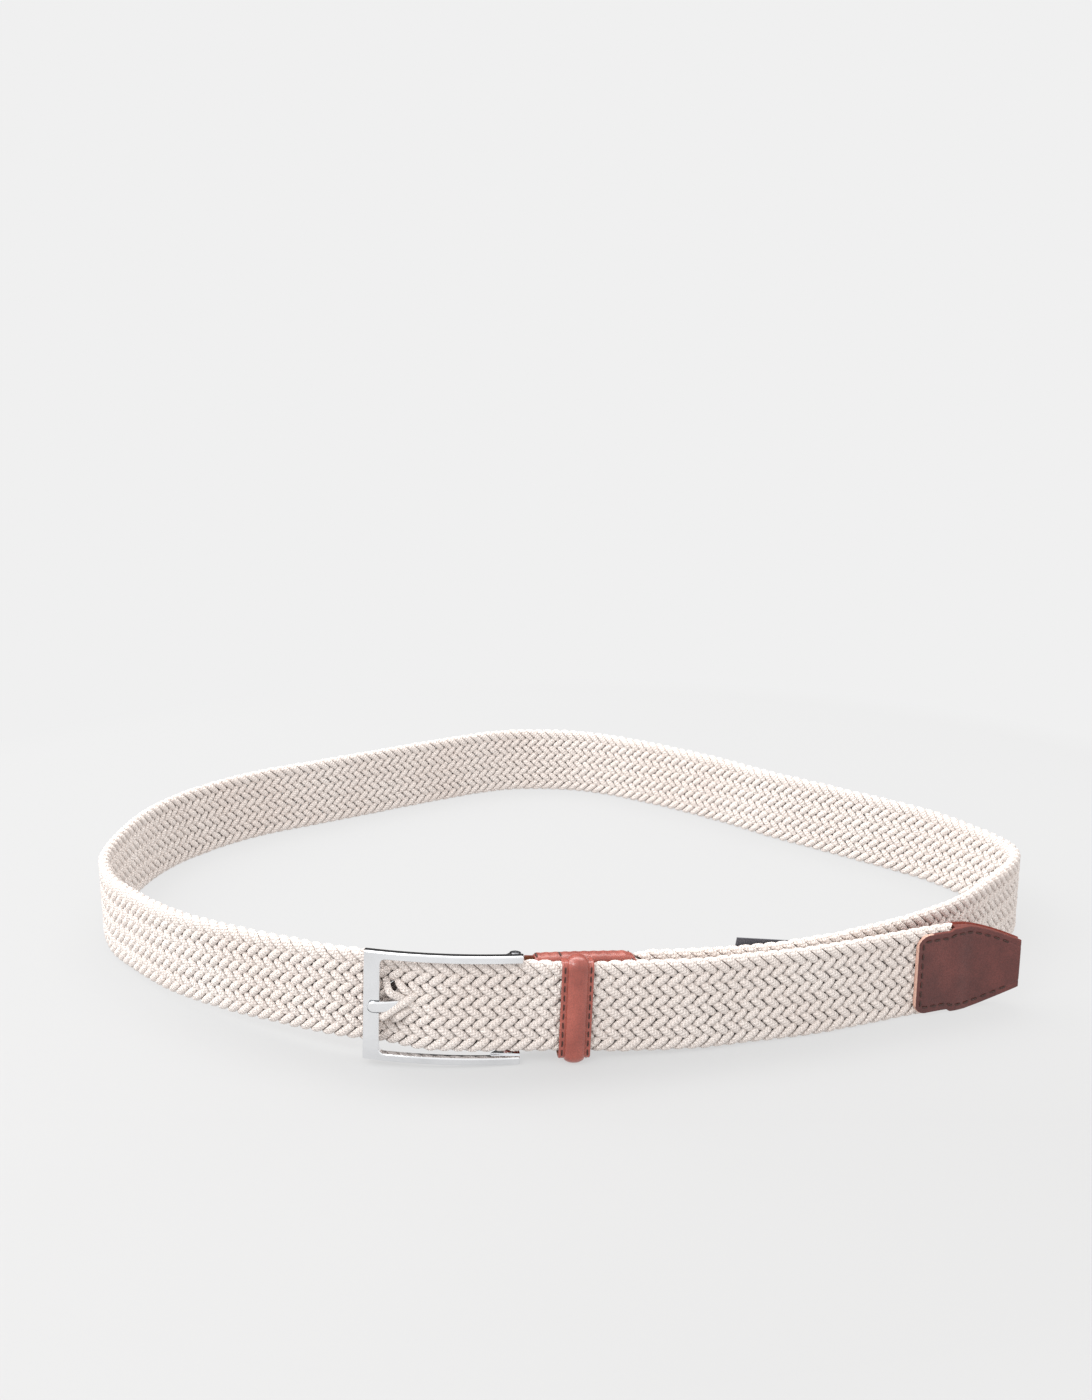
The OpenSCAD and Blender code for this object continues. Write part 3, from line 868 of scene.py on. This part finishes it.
under = -KEEPER_IN_Z / 2 - KEEPER_FACE - 0.32
staple = wire("keeper_staple_wire", [from_keeper(p) for p in (
    [4.3, -1.5, under + 0.4], [4.3, -1.2, under], [4.3, 0, under - 0.03], [4.3, 1.2, under],
    [4.3, 1.5, under + 0.4])],
    0.28, STEEL, "keeper")
finish_piece(staple, "steel", "keeper_staple")


# ---------------------------------------------------------------- chape

CHAPE_H = 31.0


def chape_line():
    """The chape's middle line from above: front flap, fold round the heel bar, back flap. Each place has the
    point of its lower edge, and how far it belongs to the leaning fold."""
    off = STRAP_T / 2 + GLUE + LEATHER_T / 2
    marks = np.concatenate([np.arange(0.4, FLAP_L - 3, 1.0), np.linspace(FLAP_L - 2.8, FLAP_L - 0.02, 9)])
    s = marks[::-1] + FOLD_S
    front, back = on_strap(s, off, 0.1), on_strap(s[::-1], -off, 0.1)
    r = HEEL_R + HEEL_CLEAR + LEATHER_T / 2
    a = np.linspace(-math.pi / 2, -3 * math.pi / 2, 17)
    fold = np.column_stack([r * np.cos(a), r * np.sin(a), np.full(17, -CHAPE_H / 2)]) + HEEL
    return np.concatenate([front, fold, back]), np.array([0.0] * len(s) + [1.0] * 17 + [0.0] * len(s))


def chape():
    line, folded = chape_line()
    step = np.gradient(line[:, :2], axis=0)
    step /= np.linalg.norm(step, axis=1, keepdims=True)
    normal = np.column_stack([-step[:, 1], step[:, 0]])
    length = np.concatenate([[0], np.cumsum(np.linalg.norm(np.diff(line[:, :2], axis=0), axis=1))])
    end = np.minimum(length, length[-1] - length)
    corner = 5.0
    full = (STRAP_W - 1.2) / 2 * (1 - folded) + CHAPE_H / 2 * folded
    cut = corner - np.sqrt(np.maximum(0, corner ** 2 - (corner - end) ** 2))
    half = full - np.where(end < corner, cut, 0)
    rings = []
    for p, n, h, f, e, lean in zip(line, normal, half, full, end, folded):
        across = edge_marks(h, 2.2)
        edge = np.minimum(h - np.abs(across), e + 0.05)
        groove = 0.12 * np.exp(-((h - np.abs(across) - 2.2) / 0.4) ** 2)
        top = LEATHER_T / 2 - rounded(edge, 0.4) - groove
        inside = np.linspace(h, -h, 9)
        offset = np.concatenate([top, np.full(9, 0.02 - LEATHER_T / 2)])
        z = np.concatenate([across, inside])
        rings.append(np.column_stack([p[0] + n[0] * offset + lean * math.sin(LEAN) * z, p[1] + n[1] * offset,
                                      p[2] + f + z]))
    rings = np.array(rings)
    verts, faces = loft(rings)
    columns = rings.shape[1]
    kinds = [1 if is_rim(j, columns) else 0 if j < columns - 9 else 2 for j in range(columns)]
    kinds = kinds * (len(rings) - 1) + [1, 1]
    return face_out(make("chape_folded_leather", verts, faces, [CHAPE_LEATHER, PAINTED_EDGE, LINING_LEATHER],
                         "strap", face_materials=kinds))


finish_piece(chape(), "leather", "chape_leather")


def chape_cover():
    """The chape's leather rolled over the strap's upper edge between its two flaps, with a round end."""
    length = FLAP_L - 0.6
    corner = 5
    wide = STRAP_T / 2 + GLUE + LEATHER_T
    arch = np.linspace(-math.pi / 2, math.pi / 2, 19)
    marks = np.concatenate([[0.0, 0.15, 0.4], np.arange(1.0, length - corner, 0.8),
                            length - corner * np.linspace(1, 0, 14) ** 1.6])
    rings = []
    for d in marks:
        s = FOLD_S + 0.5 + d
        left = max(0.02, min(1.0, (length - d) / corner))
        drop = 3.4 * (1 - math.sqrt(1 - (1 - left) ** 2)) + 0.5 * (1 - smooth(d / 1.2))
        ring = []
        for thick, order in ((0.0, 1), (1.0, -1)):
            for t in arch[::order]:
                skirt = 1.6 if abs(t) > 1.5 else 0.0
                sag = 0.12 * math.sin(1.9 * s) * math.cos(t)
                out = (wide + 0.03 - thick) * math.copysign(abs(math.sin(t)) ** 0.8, t)
                up = STRAP_W - 2.0 - drop - skirt + (2.6 - thick + sag) * math.cos(t) ** 0.8
                ring.append(on_strap(np.array([s]), out, up)[0])
        rings.append(ring)
    return face_out(make("chape_rolled_cover", *loft(np.array(rings)), [CHAPE_LEATHER], "strap"))


finish_piece(chape_cover(), "leather", "chape_leather")

CHAPE_ROWS = (3.4, 31.6)
seams = []
face = STRAP_T / 2 + GLUE + LEATHER_T
for row in CHAPE_ROWS:
    s = BUTT_S + row
    for i in range(9):
        z = STRAP_W / 2 + (i - 4) * STITCH_STEP
        seams.append((on_strap(s, -face - 0.02, z), [0, 0, 1], -outward(s), 2.6))
        seams.append((on_strap(s, face + 0.02, z), [0, 0, 1], outward(s), 2.6))
for s in (BUTT_S - 1.2, BUTT_S + 7.0):
    seams.append((on_strap(s, 0.4, STRAP_W + 0.62), outward(s), [0, 0, 1], 3.2))
stitch_tubes("chape_stitches", seams, "strap", ["chape_thread"])


# ---------------------------------------------------------------- leather tip

TIP_INSET = 2.4


def tip_half(d):
    """Half the tip's height at a distance from its butt end: over the braid, then a shoulder and a taper."""
    over = STRAP_W / 2 - 1
    corner = 5.0
    taper = STRAP_W / 2 - (STRAP_W - TIP_END_H) / 2 * np.power(
        np.maximum(0, (d - TIP_COVER - 6) / (TIP_L - TIP_COVER - 6)), 1.3)
    return np.where(
        d < corner, over - corner + np.sqrt(np.maximum(0, corner ** 2 - (corner - d) ** 2)),
        np.where(d < TIP_COVER - 2, over,
                 np.where(d < TIP_COVER + 6, over + smooth((d - TIP_COVER + 2) / 2), taper)))


def tip_out(d):
    """How far the tip's inner face is from the strap's middle: it closes in past the braid's end."""
    return STRAP_T / 2 + GLUE - 1.1 * smooth((d - TIP_COVER - 1) / 8)


def tip_face(name, side, material, slot, node):
    """One face of the tip: a skived leather shape with rounded edges, a sewn channel and a soft crown."""
    marks = np.concatenate([[0, 0.05, 0.14, 0.28, 0.45, 0.7, 1.0, 1.4], np.arange(1.8, TIP_L - 1.5, 0.6),
                            TIP_L - np.array([1.3, 1.0, 0.7, 0.45, 0.28, 0.14, 0.05, 0])])
    rings = []
    for d in marks:
        half = float(tip_half(d))
        across = edge_marks(half, TIP_INSET)
        edge = np.minimum(np.minimum(half - np.abs(across), d + 0.02), TIP_L - d + 0.02)
        line = np.abs(np.minimum(half - np.abs(across), d) - TIP_INSET)
        crown = 0.12 * (1 - (np.abs(across) / half) ** 2) * smooth((d - 2) / 6)
        bite = 0.05 * (1 + np.sin(2 * math.pi * d / STITCH_STEP))
        top = LEATHER_T - rounded(edge, 0.5) + crown - (0.16 + bite) * np.exp(-(line / 0.42) ** 2)
        a = float(tip_out(d))
        outer = on_strap(TIP_S + d, side * (a + top), STRAP_W / 2 + across)
        low = np.full(9, a + 0.02)
        inner = on_strap(TIP_S + d, side * low, STRAP_W / 2 + np.linspace(half, -half, 9))
        rings.append(np.concatenate([outer, inner]))
    rings = np.array(rings)
    verts, faces = loft(rings)
    columns = rings.shape[1]
    kinds = []
    for i in range(len(rings) - 1):
        early = marks[i] < 6.0
        for j in range(columns):
            rim = is_rim(j, columns)
            first = marks[i] < 0.4 and j < columns - 10
            kinds.append(2 if (rim and early) or first else 1 if rim else 0)
    kinds += [2, 1]
    obj = face_out(make(name, verts, faces, [material, PAINTED_EDGE, RAW_EDGE], "tail", face_materials=kinds))
    return finish_piece(obj, slot, node)


tip_face("tip_front_leather", 1, TIP_LEATHER, "tip_leather", "tip_front")
tip_face("tip_back_leather", -1, KEEPER_LEATHER, "tip_leather", "tip_back")

filler_marks = np.arange(TIP_COVER + 0.8, TIP_L - 0.2, 0.8)
rings = []
for d in filler_marks:
    half = float(tip_half(d)) - 0.35
    a = float(tip_out(d))
    angle = turns(44)
    rings.append(on_strap(TIP_S + d, squared(np.cos(angle), 0.25) * a,
                          STRAP_W / 2 + squared(np.sin(angle), 0.18) * half))
filler = face_out(make("tip_filler_layer", *loft(rings), [PAINTED_EDGE], "tail"))
finish_piece(filler, "lining_leather", "tip_filler")

seams = []
for side in (1, -1):
    for d in np.arange(4.6, TIP_L - 2.6, STITCH_STEP):
        for up in (-1, 1):
            ends = [on_strap(TIP_S + d + e, side * (float(tip_out(d + e)) + LEATHER_T + 0.02),
                             STRAP_W / 2 + up * (float(tip_half(d + e)) - TIP_INSET)) for e in (-0.8, 0.8)]
            seams.append(((ends[0] + ends[1]) / 2, ends[1] - ends[0], outward(TIP_S + d) * side, 2.7))
    s = TIP_S + TIP_INSET
    for i in range(-3, 4):
        centre = on_strap(s, side * (float(tip_out(0)) + LEATHER_T + 0.02), STRAP_W / 2 + i * STITCH_STEP)
        seams.append((centre, [0, 0, 1], outward(s) * side, 2.7))
stitch_tubes("tip_stitches", seams, "tail", ["tip_thread"])


# ---------------------------------------------------------------- size label

LABEL_S = BUTT_S + 84.2
LABEL_L = 28.0
LABEL_H = 14.0


def on_label(x, y, z):
    """Label coordinates: X along it from its upper left corner, Y off the braid, Z up."""
    turn = math.radians(10)
    d = along(LABEL_S)
    origin = on_strap(LABEL_S, -STRAP_T / 2 - 0.65, STRAP_W + 0.6)
    level = (x - LABEL_L / 2) * math.cos(turn) + z * math.sin(turn)
    high = -(x - LABEL_L / 2) * math.sin(turn) + z * math.cos(turn)
    return origin + np.stack([level * d[0] - y * d[1], level * d[1] + y * d[0], high], axis=-1)


# The label: a thin sheet with a turned hem, sewn along its lower edge
columns, rows = 57, 29
x, z = np.meshgrid(np.linspace(0, LABEL_L, columns), np.linspace(0, -LABEL_H, rows))
rng = np.random.default_rng(3)
ripple = wobble(rng, 16, 0.05)(x + 0.6 * z)
hem = 0.16 * (np.minimum(np.minimum(x, LABEL_L - x), np.minimum(-z, LABEL_H + z)) < 1.6)
outer = on_label(x, 0.46 + ripple + hem, z)
inner = on_label(x, 0.1 + ripple * 0.5, z)
verts = np.concatenate([outer.reshape(-1, 3), inner.reshape(-1, 3)])
count = rows * columns
top = grid_faces(rows, columns, closed=False)
faces = top.tolist() + (top[:, ::-1] + count).tolist()
rim = list(range(columns)) + [i * columns + columns - 1 for i in range(1, rows)]
rim += [(rows - 1) * columns + j for j in range(columns - 2, -1, -1)]
rim += [i * columns for i in range(rows - 2, 0, -1)]
faces += [[a, b, b + count, a + count] for a, b in zip(rim, rim[1:] + rim[:1])]
label = face_out(make("size_label_blank", verts, faces, [LABEL], "strap", angle=50))
finish_piece(label, "label_fabric", "size_label")

seams = [(on_label(*np.array([2.0 + 2.4 * i, 0.66, -LABEL_H + 1.2])), along(LABEL_S), -outward(LABEL_S), 1.7)
         for i in range(11)]
label_stitches = stitch_tubes("label_stitches", seams, "strap", ["label_thread"], 0.35, 0.15)


# ---------------------------------------------------------------- buckle

def prism(bm, points, step):
    """Adds a closed prism: one face, swept by a step."""
    face = bm.faces.new([bm.verts.new(p) for p in points])
    extruded = bmesh.ops.extrude_face_region(bm, geom=[face])
    moved = [v for v in extruded["geom"] if isinstance(v, bmesh.types.BMVert)]
    bmesh.ops.translate(bm, verts=moved, vec=step)


def bowed(x):
    """Outer face of the frame's plate, in buckle coordinates."""
    return BOW_Y - np.sqrt(BOW_R ** 2 - (x - BOW_X) ** 2)


def buckle_frame():
    """The plate is drawn flat, bevelled and cut into slices, then bowed."""
    half = FRAME_H / 2
    window = half - ARM_H
    inside = FRAME_LEFT + BAR_W
    corner = 1.7
    outline = [(FRAME_RIGHT, -half), (FRAME_LEFT, -half), (FRAME_LEFT, half), (FRAME_RIGHT, half),
               (FRAME_RIGHT, window)]
    for side, start in ((1, math.pi / 2), (-1, math.pi)):
        for a in np.linspace(start, start + math.pi / 2, 9):
            z = side * (window - corner) + corner * math.sin(a)
            outline.append((inside + corner + corner * math.cos(a), z))
    outline.append((FRAME_RIGHT, -window))
    bm = bmesh.new()
    prism(bm, [(x, 0, z) for x, z in outline], (0, FRAME_T, 0))
    bmesh.ops.recalc_face_normals(bm, faces=bm.faces)
    sharp = [e for e in bm.edges if len(e.link_faces) == 2 and e.calc_face_angle(0) > math.radians(30)]
    bmesh.ops.bevel(bm, geom=sharp, offset=0.6, segments=5, profile=0.5, affect="EDGES", clamp_overlap=True)
    for x in np.arange(FRAME_LEFT + 1, FRAME_RIGHT, 1.5):
        bmesh.ops.bisect_plane(bm, geom=bm.verts[:] + bm.edges[:] + bm.faces[:], dist=1e-4,
                               plane_co=(x, 0, 0), plane_no=(1, 0, 0))
    bmesh.ops.triangulate(bm, faces=[f for f in bm.faces if len(f.verts) > 4])
    for v in bm.verts:
        v.co.y += float(bowed(v.co.x))
    lug_r = 2.0
    lug = [(-lug_r, 0), (-7, -6.4), (2.9, -6.2), (lug_r, 0)]
    lug += [(lug_r * math.cos(a), lug_r * math.sin(a)) for a in np.linspace(0, math.pi, 13)[1:-1]]
    for side in (-1, 1):
        low, high = sorted((side * (window - 0.5), side * (window + 0.4)))
        prism(bm, [(x, y, low) for x, y in lug], (0, 0, high - low))
    bmesh.ops.recalc_face_normals(bm, faces=bm.faces)
    for v in bm.verts:
        v.co = Vector(from_heel([v.co.x, v.co.y, v.co.z])) * MM
    mesh = bpy.data.meshes.new("buckle_frame_chrome")
    bm.to_mesh(mesh)
    bm.free()
    mesh.materials.append(CHROME)
    return new_object("buckle_frame_chrome", mesh)


def cut_notch(obj):
    """Shallow rounded seat for the prong's tip, cut into the front bar."""
    half = (PRONG_W + 0.7) / 2
    left = FRAME_LEFT + 1.2 + half
    arc = np.linspace(math.pi / 2, 3 * math.pi / 2, 21)
    outline = [(left + half * math.cos(a), half * math.sin(a)) for a in arc]
    outline += [(left + 8, -half), (left + 8, half)]
    rings = [[[x, y, z] for x, z in outline] for y in (-12.0, -6.95)]
    verts, faces = loft(from_heel(rings))
    cutter = face_out(make("notch_cutter", verts, faces, [CHROME]))
    modifier = obj.modifiers.new("notch", "BOOLEAN")
    modifier.object = cutter
    modifier.operation = "DIFFERENCE"
    modifier.solver = "EXACT"
    mesh = bpy.data.meshes.new_from_object(obj.evaluated_get(bpy.context.evaluated_depsgraph_get()))
    obj.modifiers.clear()
    obj.data = mesh
    bpy.data.objects.remove(cutter)
    mesh.shade_smooth()
    mesh.set_sharp_from_angle(angle=math.radians(24))
    return obj


chrome_frame = cut_notch(buckle_frame())
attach(chrome_frame, "buckle")
finish_piece(chrome_frame, "chrome", "buckle_frame")


def prong():
    """A flat bar with eased edges and a rounded tip, which rises through the weave, and its heel loop."""
    tip_x = FRAME_LEFT + 1.7
    tip_marks = tip_x + 3 - 3 * np.sin(np.linspace(0, 1, 10)[1:] * math.pi / 2)
    xs = np.concatenate([np.linspace(-1.4, tip_x + 3, 60), tip_marks])
    rings = []
    angle = turns(28)
    for x in xs:
        end = np.clip((x - tip_x) / (PRONG_W / 2), 0, 1)
        w = PRONG_W / 2 * math.sqrt(max(0.0009, 1 - (1 - end) ** 2))
        t = PRONG_T / 2 * (0.55 + 0.45 * math.sqrt(max(0, 1 - (1 - end) ** 2)))
        slope = (float(prong_y(x + 0.05)) - float(prong_y(x - 0.05))) / 0.1
        n = np.array([-slope, 1.0]) / math.hypot(slope, 1)
        across = squared(np.cos(angle), 0.45) * w
        deep = squared(np.sin(angle), 0.55) * t
        rings.append(np.column_stack([x + n[0] * deep, prong_y(x) + n[1] * deep, across]))
    verts, faces = loft(from_heel(rings))
    a = turns(48)
    inner, outer = HEEL_R + HEEL_CLEAR, 2.7
    half = PRONG_W / 2
    profile = [(inner, half - 0.15), (inner + 0.15, half), (outer - 0.3, half), (outer - 0.08, half - 0.08),
               (outer, half - 0.3), (outer, 0.3 - half), (outer - 0.08, 0.08 - half), (outer - 0.3, -half),
               (inner + 0.15, -half), (inner, 0.15 - half)]
    loop = np.array([[[r * math.cos(t), r * math.sin(t), z] for r, z in profile] for t in a])
    n = len(profile)
    start = len(verts)
    ring_faces = [[start + i * n + j, start + i * n + (j + 1) % n, start + (i + 1) % 48 * n + (j + 1) % n,
                   start + (i + 1) % 48 * n + j] for i in range(48) for j in range(n)]
    verts = np.concatenate([verts, from_heel(loop).reshape(-1, 3)])
    return face_out(make("prong_chrome", verts, faces + ring_faces, [CHROME], "prong", angle=34))


finish_piece(prong(), "chrome", "prong")


def heel_bar():
    """A steel bar with eased ends, from lug to lug."""
    half = (FRAME_H - 2 * ARM_H + 0.9) / 2
    marks = [(-half, HEEL_R - 0.3), (-half + 0.09, HEEL_R - 0.09), (-half + 0.3, HEEL_R)]
    marks += [(z, HEEL_R) for z in np.linspace(-half + 2, half - 2, 12)]
    marks += [(half - 0.3, HEEL_R), (half - 0.09, HEEL_R - 0.09), (half, HEEL_R - 0.3)]
    a = turns(40)
    rings = [np.column_stack([r * np.cos(a), r * np.sin(a), np.full(40, z)]) for z, r in marks]
    return face_out(make("heel_bar_steel", *loft(from_heel(rings)), [STEEL], "buckle"))


finish_piece(heel_bar(), "steel", "heel_bar")


# ---------------------------------------------------------------- studio

BACKGROUND = linear(240, 240, 240)
WORLD_LIGHT = 1.05


def floor():
    """A very large pale floor that melts into the background away from the belt."""
    mesh = bpy.data.meshes.new("studio_floor")
    mesh.from_pydata([(-60, -60, 0), (60, -60, 0), (60, 60, 0), (-60, 60, 0)], [], [(0, 1, 2, 3)])
    p = Paint("studio_floor")
    place = p.place()
    distance = p.node("ShaderNodeVectorMath", links={0: place}, operation="LENGTH").outputs["Value"]
    split = p.node("ShaderNodeSeparateXYZ", links={"Vector": place})
    behind = p.spread(split.outputs["Y"], -0.19, -0.10, 0.5, 0.82)
    p.colour(p.tones(p.noise(3, 3), (172, 172, 172), (169, 169, 169)))
    p.roughness(p.spread(p.noise(40, 3), 0.3, 0.7, 0.8, 0.95))
    p.bump(p.noise(300, 3), 0.0001, 0.2)
    p.set(Specular_IOR_Level=0.0)
    glow = p.node("ShaderNodeEmission", {"Color": BACKGROUND, "Strength": 1.0})
    far = p.math("MAXIMUM", p.spread(distance, 0.2, 0.42, 0, 1), behind)
    both = {0: far, 1: p.surface.outputs["BSDF"], 2: glow.outputs["Emission"]}
    mixed = p.node("ShaderNodeMixShader", links=both)
    p.tree.links.new(mixed.outputs["Shader"], p.tree.nodes["Material Output"].inputs["Surface"])
    mesh.materials.append(p.material)
    obj = new_object("studio_floor", mesh)
    obj.location.z = bounds_at_load[0][2] - 0.0001


def world():
    """Even white light, pale grey behind the belt, and one darker band that the chrome mirrors."""
    w = bpy.data.worlds.new("studio")
    bpy.context.scene.world = w
    w.use_nodes = True
    tree = w.node_tree
    tree.nodes.clear()

    direction = add_node(tree, "ShaderNodeTexCoord").outputs["Generated"]
    split = add_node(tree, "ShaderNodeSeparateXYZ", links={"Vector": direction})
    lift = add_node(tree, "ShaderNodeMapRange", {"From Min": -1.0}, {"Value": split.outputs["Z"]})
    band = add_node(tree, "ShaderNodeValToRGB", links={"Fac": lift.outputs["Result"]})
    ramp = band.color_ramp
    ramp.interpolation = "EASE"
    ramp.elements[0].position = 0.50
    ramp.elements[0].color = (1, 1, 1, 1)
    ramp.elements[1].position = 0.54
    ramp.elements[1].color = (0.05, 0.045, 0.045, 1)
    for position, value in ((0.735, 0.05), (0.79, 1.0)):
        ramp.elements.new(position).color = (value, value, value, 1)
    front = add_node(tree, "ShaderNodeMapRange", {"From Min": 0.25, "From Max": 0.5},
                     {"Value": split.outputs["Y"]})
    path = add_node(tree, "ShaderNodeLightPath").outputs
    mirrored = add_node(tree, "ShaderNodeMath", operation="MULTIPLY",
                        links={0: front.outputs["Result"], 1: path["Is Glossy Ray"]})
    shade = add_node(tree, "ShaderNodeMix", {6: (1, 1, 1, 1)},
                     {0: mirrored.outputs[0], 7: band.outputs["Color"]}, data_type="RGBA")
    lit = add_node(tree, "ShaderNodeBackground", {"Strength": WORLD_LIGHT}, {"Color": shade.outputs[2]})
    seen = add_node(tree, "ShaderNodeBackground", {"Color": BACKGROUND, "Strength": 1.0})
    both = {0: path["Is Camera Ray"], 1: lit.outputs["Background"], 2: seen.outputs["Background"]}
    choose = add_node(tree, "ShaderNodeMixShader", links=both)
    out = add_node(tree, "ShaderNodeOutputWorld")
    tree.links.new(choose.outputs["Shader"], out.inputs["Surface"])


def area_light(name, place, target, size, power, colour=(1, 1, 1)):
    light = bpy.data.lights.new(name, "AREA")
    light.shape = "RECTANGLE"
    light.size, light.size_y = size
    light.energy = power
    light.color = colour
    obj = new_object(name, light)
    obj.location = place
    obj.rotation_euler = (Vector(target) - Vector(place)).to_track_quat("-Z", "Y").to_euler()


def camera():
    """The view over the buckle to the back of the loop."""
    data = bpy.data.cameras.new("camera")
    data.lens = 36 * 1470 / 1400
    data.sensor_width = 36
    data.clip_start = 0.02
    data.clip_end = 200
    obj = new_object("camera", data)
    obj.location = (-0.005, -0.6042, 0.2384)
    obj.rotation_euler = (math.radians(90 - 13.98), 0, 0)
    bpy.context.scene.camera = obj


floor()
world()
area_light("light_left", (-0.9, 0.1, 0.9), (-0.05, 0, 0), (1.2, 1.2), 14.0)
area_light("light_front", (-0.6, -0.9, 1.1), (0, -0.15, 0.02), (0.6, 0.4), 6.5)
area_light("light_back", (0.1, 0.7, 1.6), (0, -0.05, 0), (1.6, 0.8), 15.0, (1.0, 0.97, 0.95))
camera()
bpy.context.scene.view_settings.view_transform = "Standard"
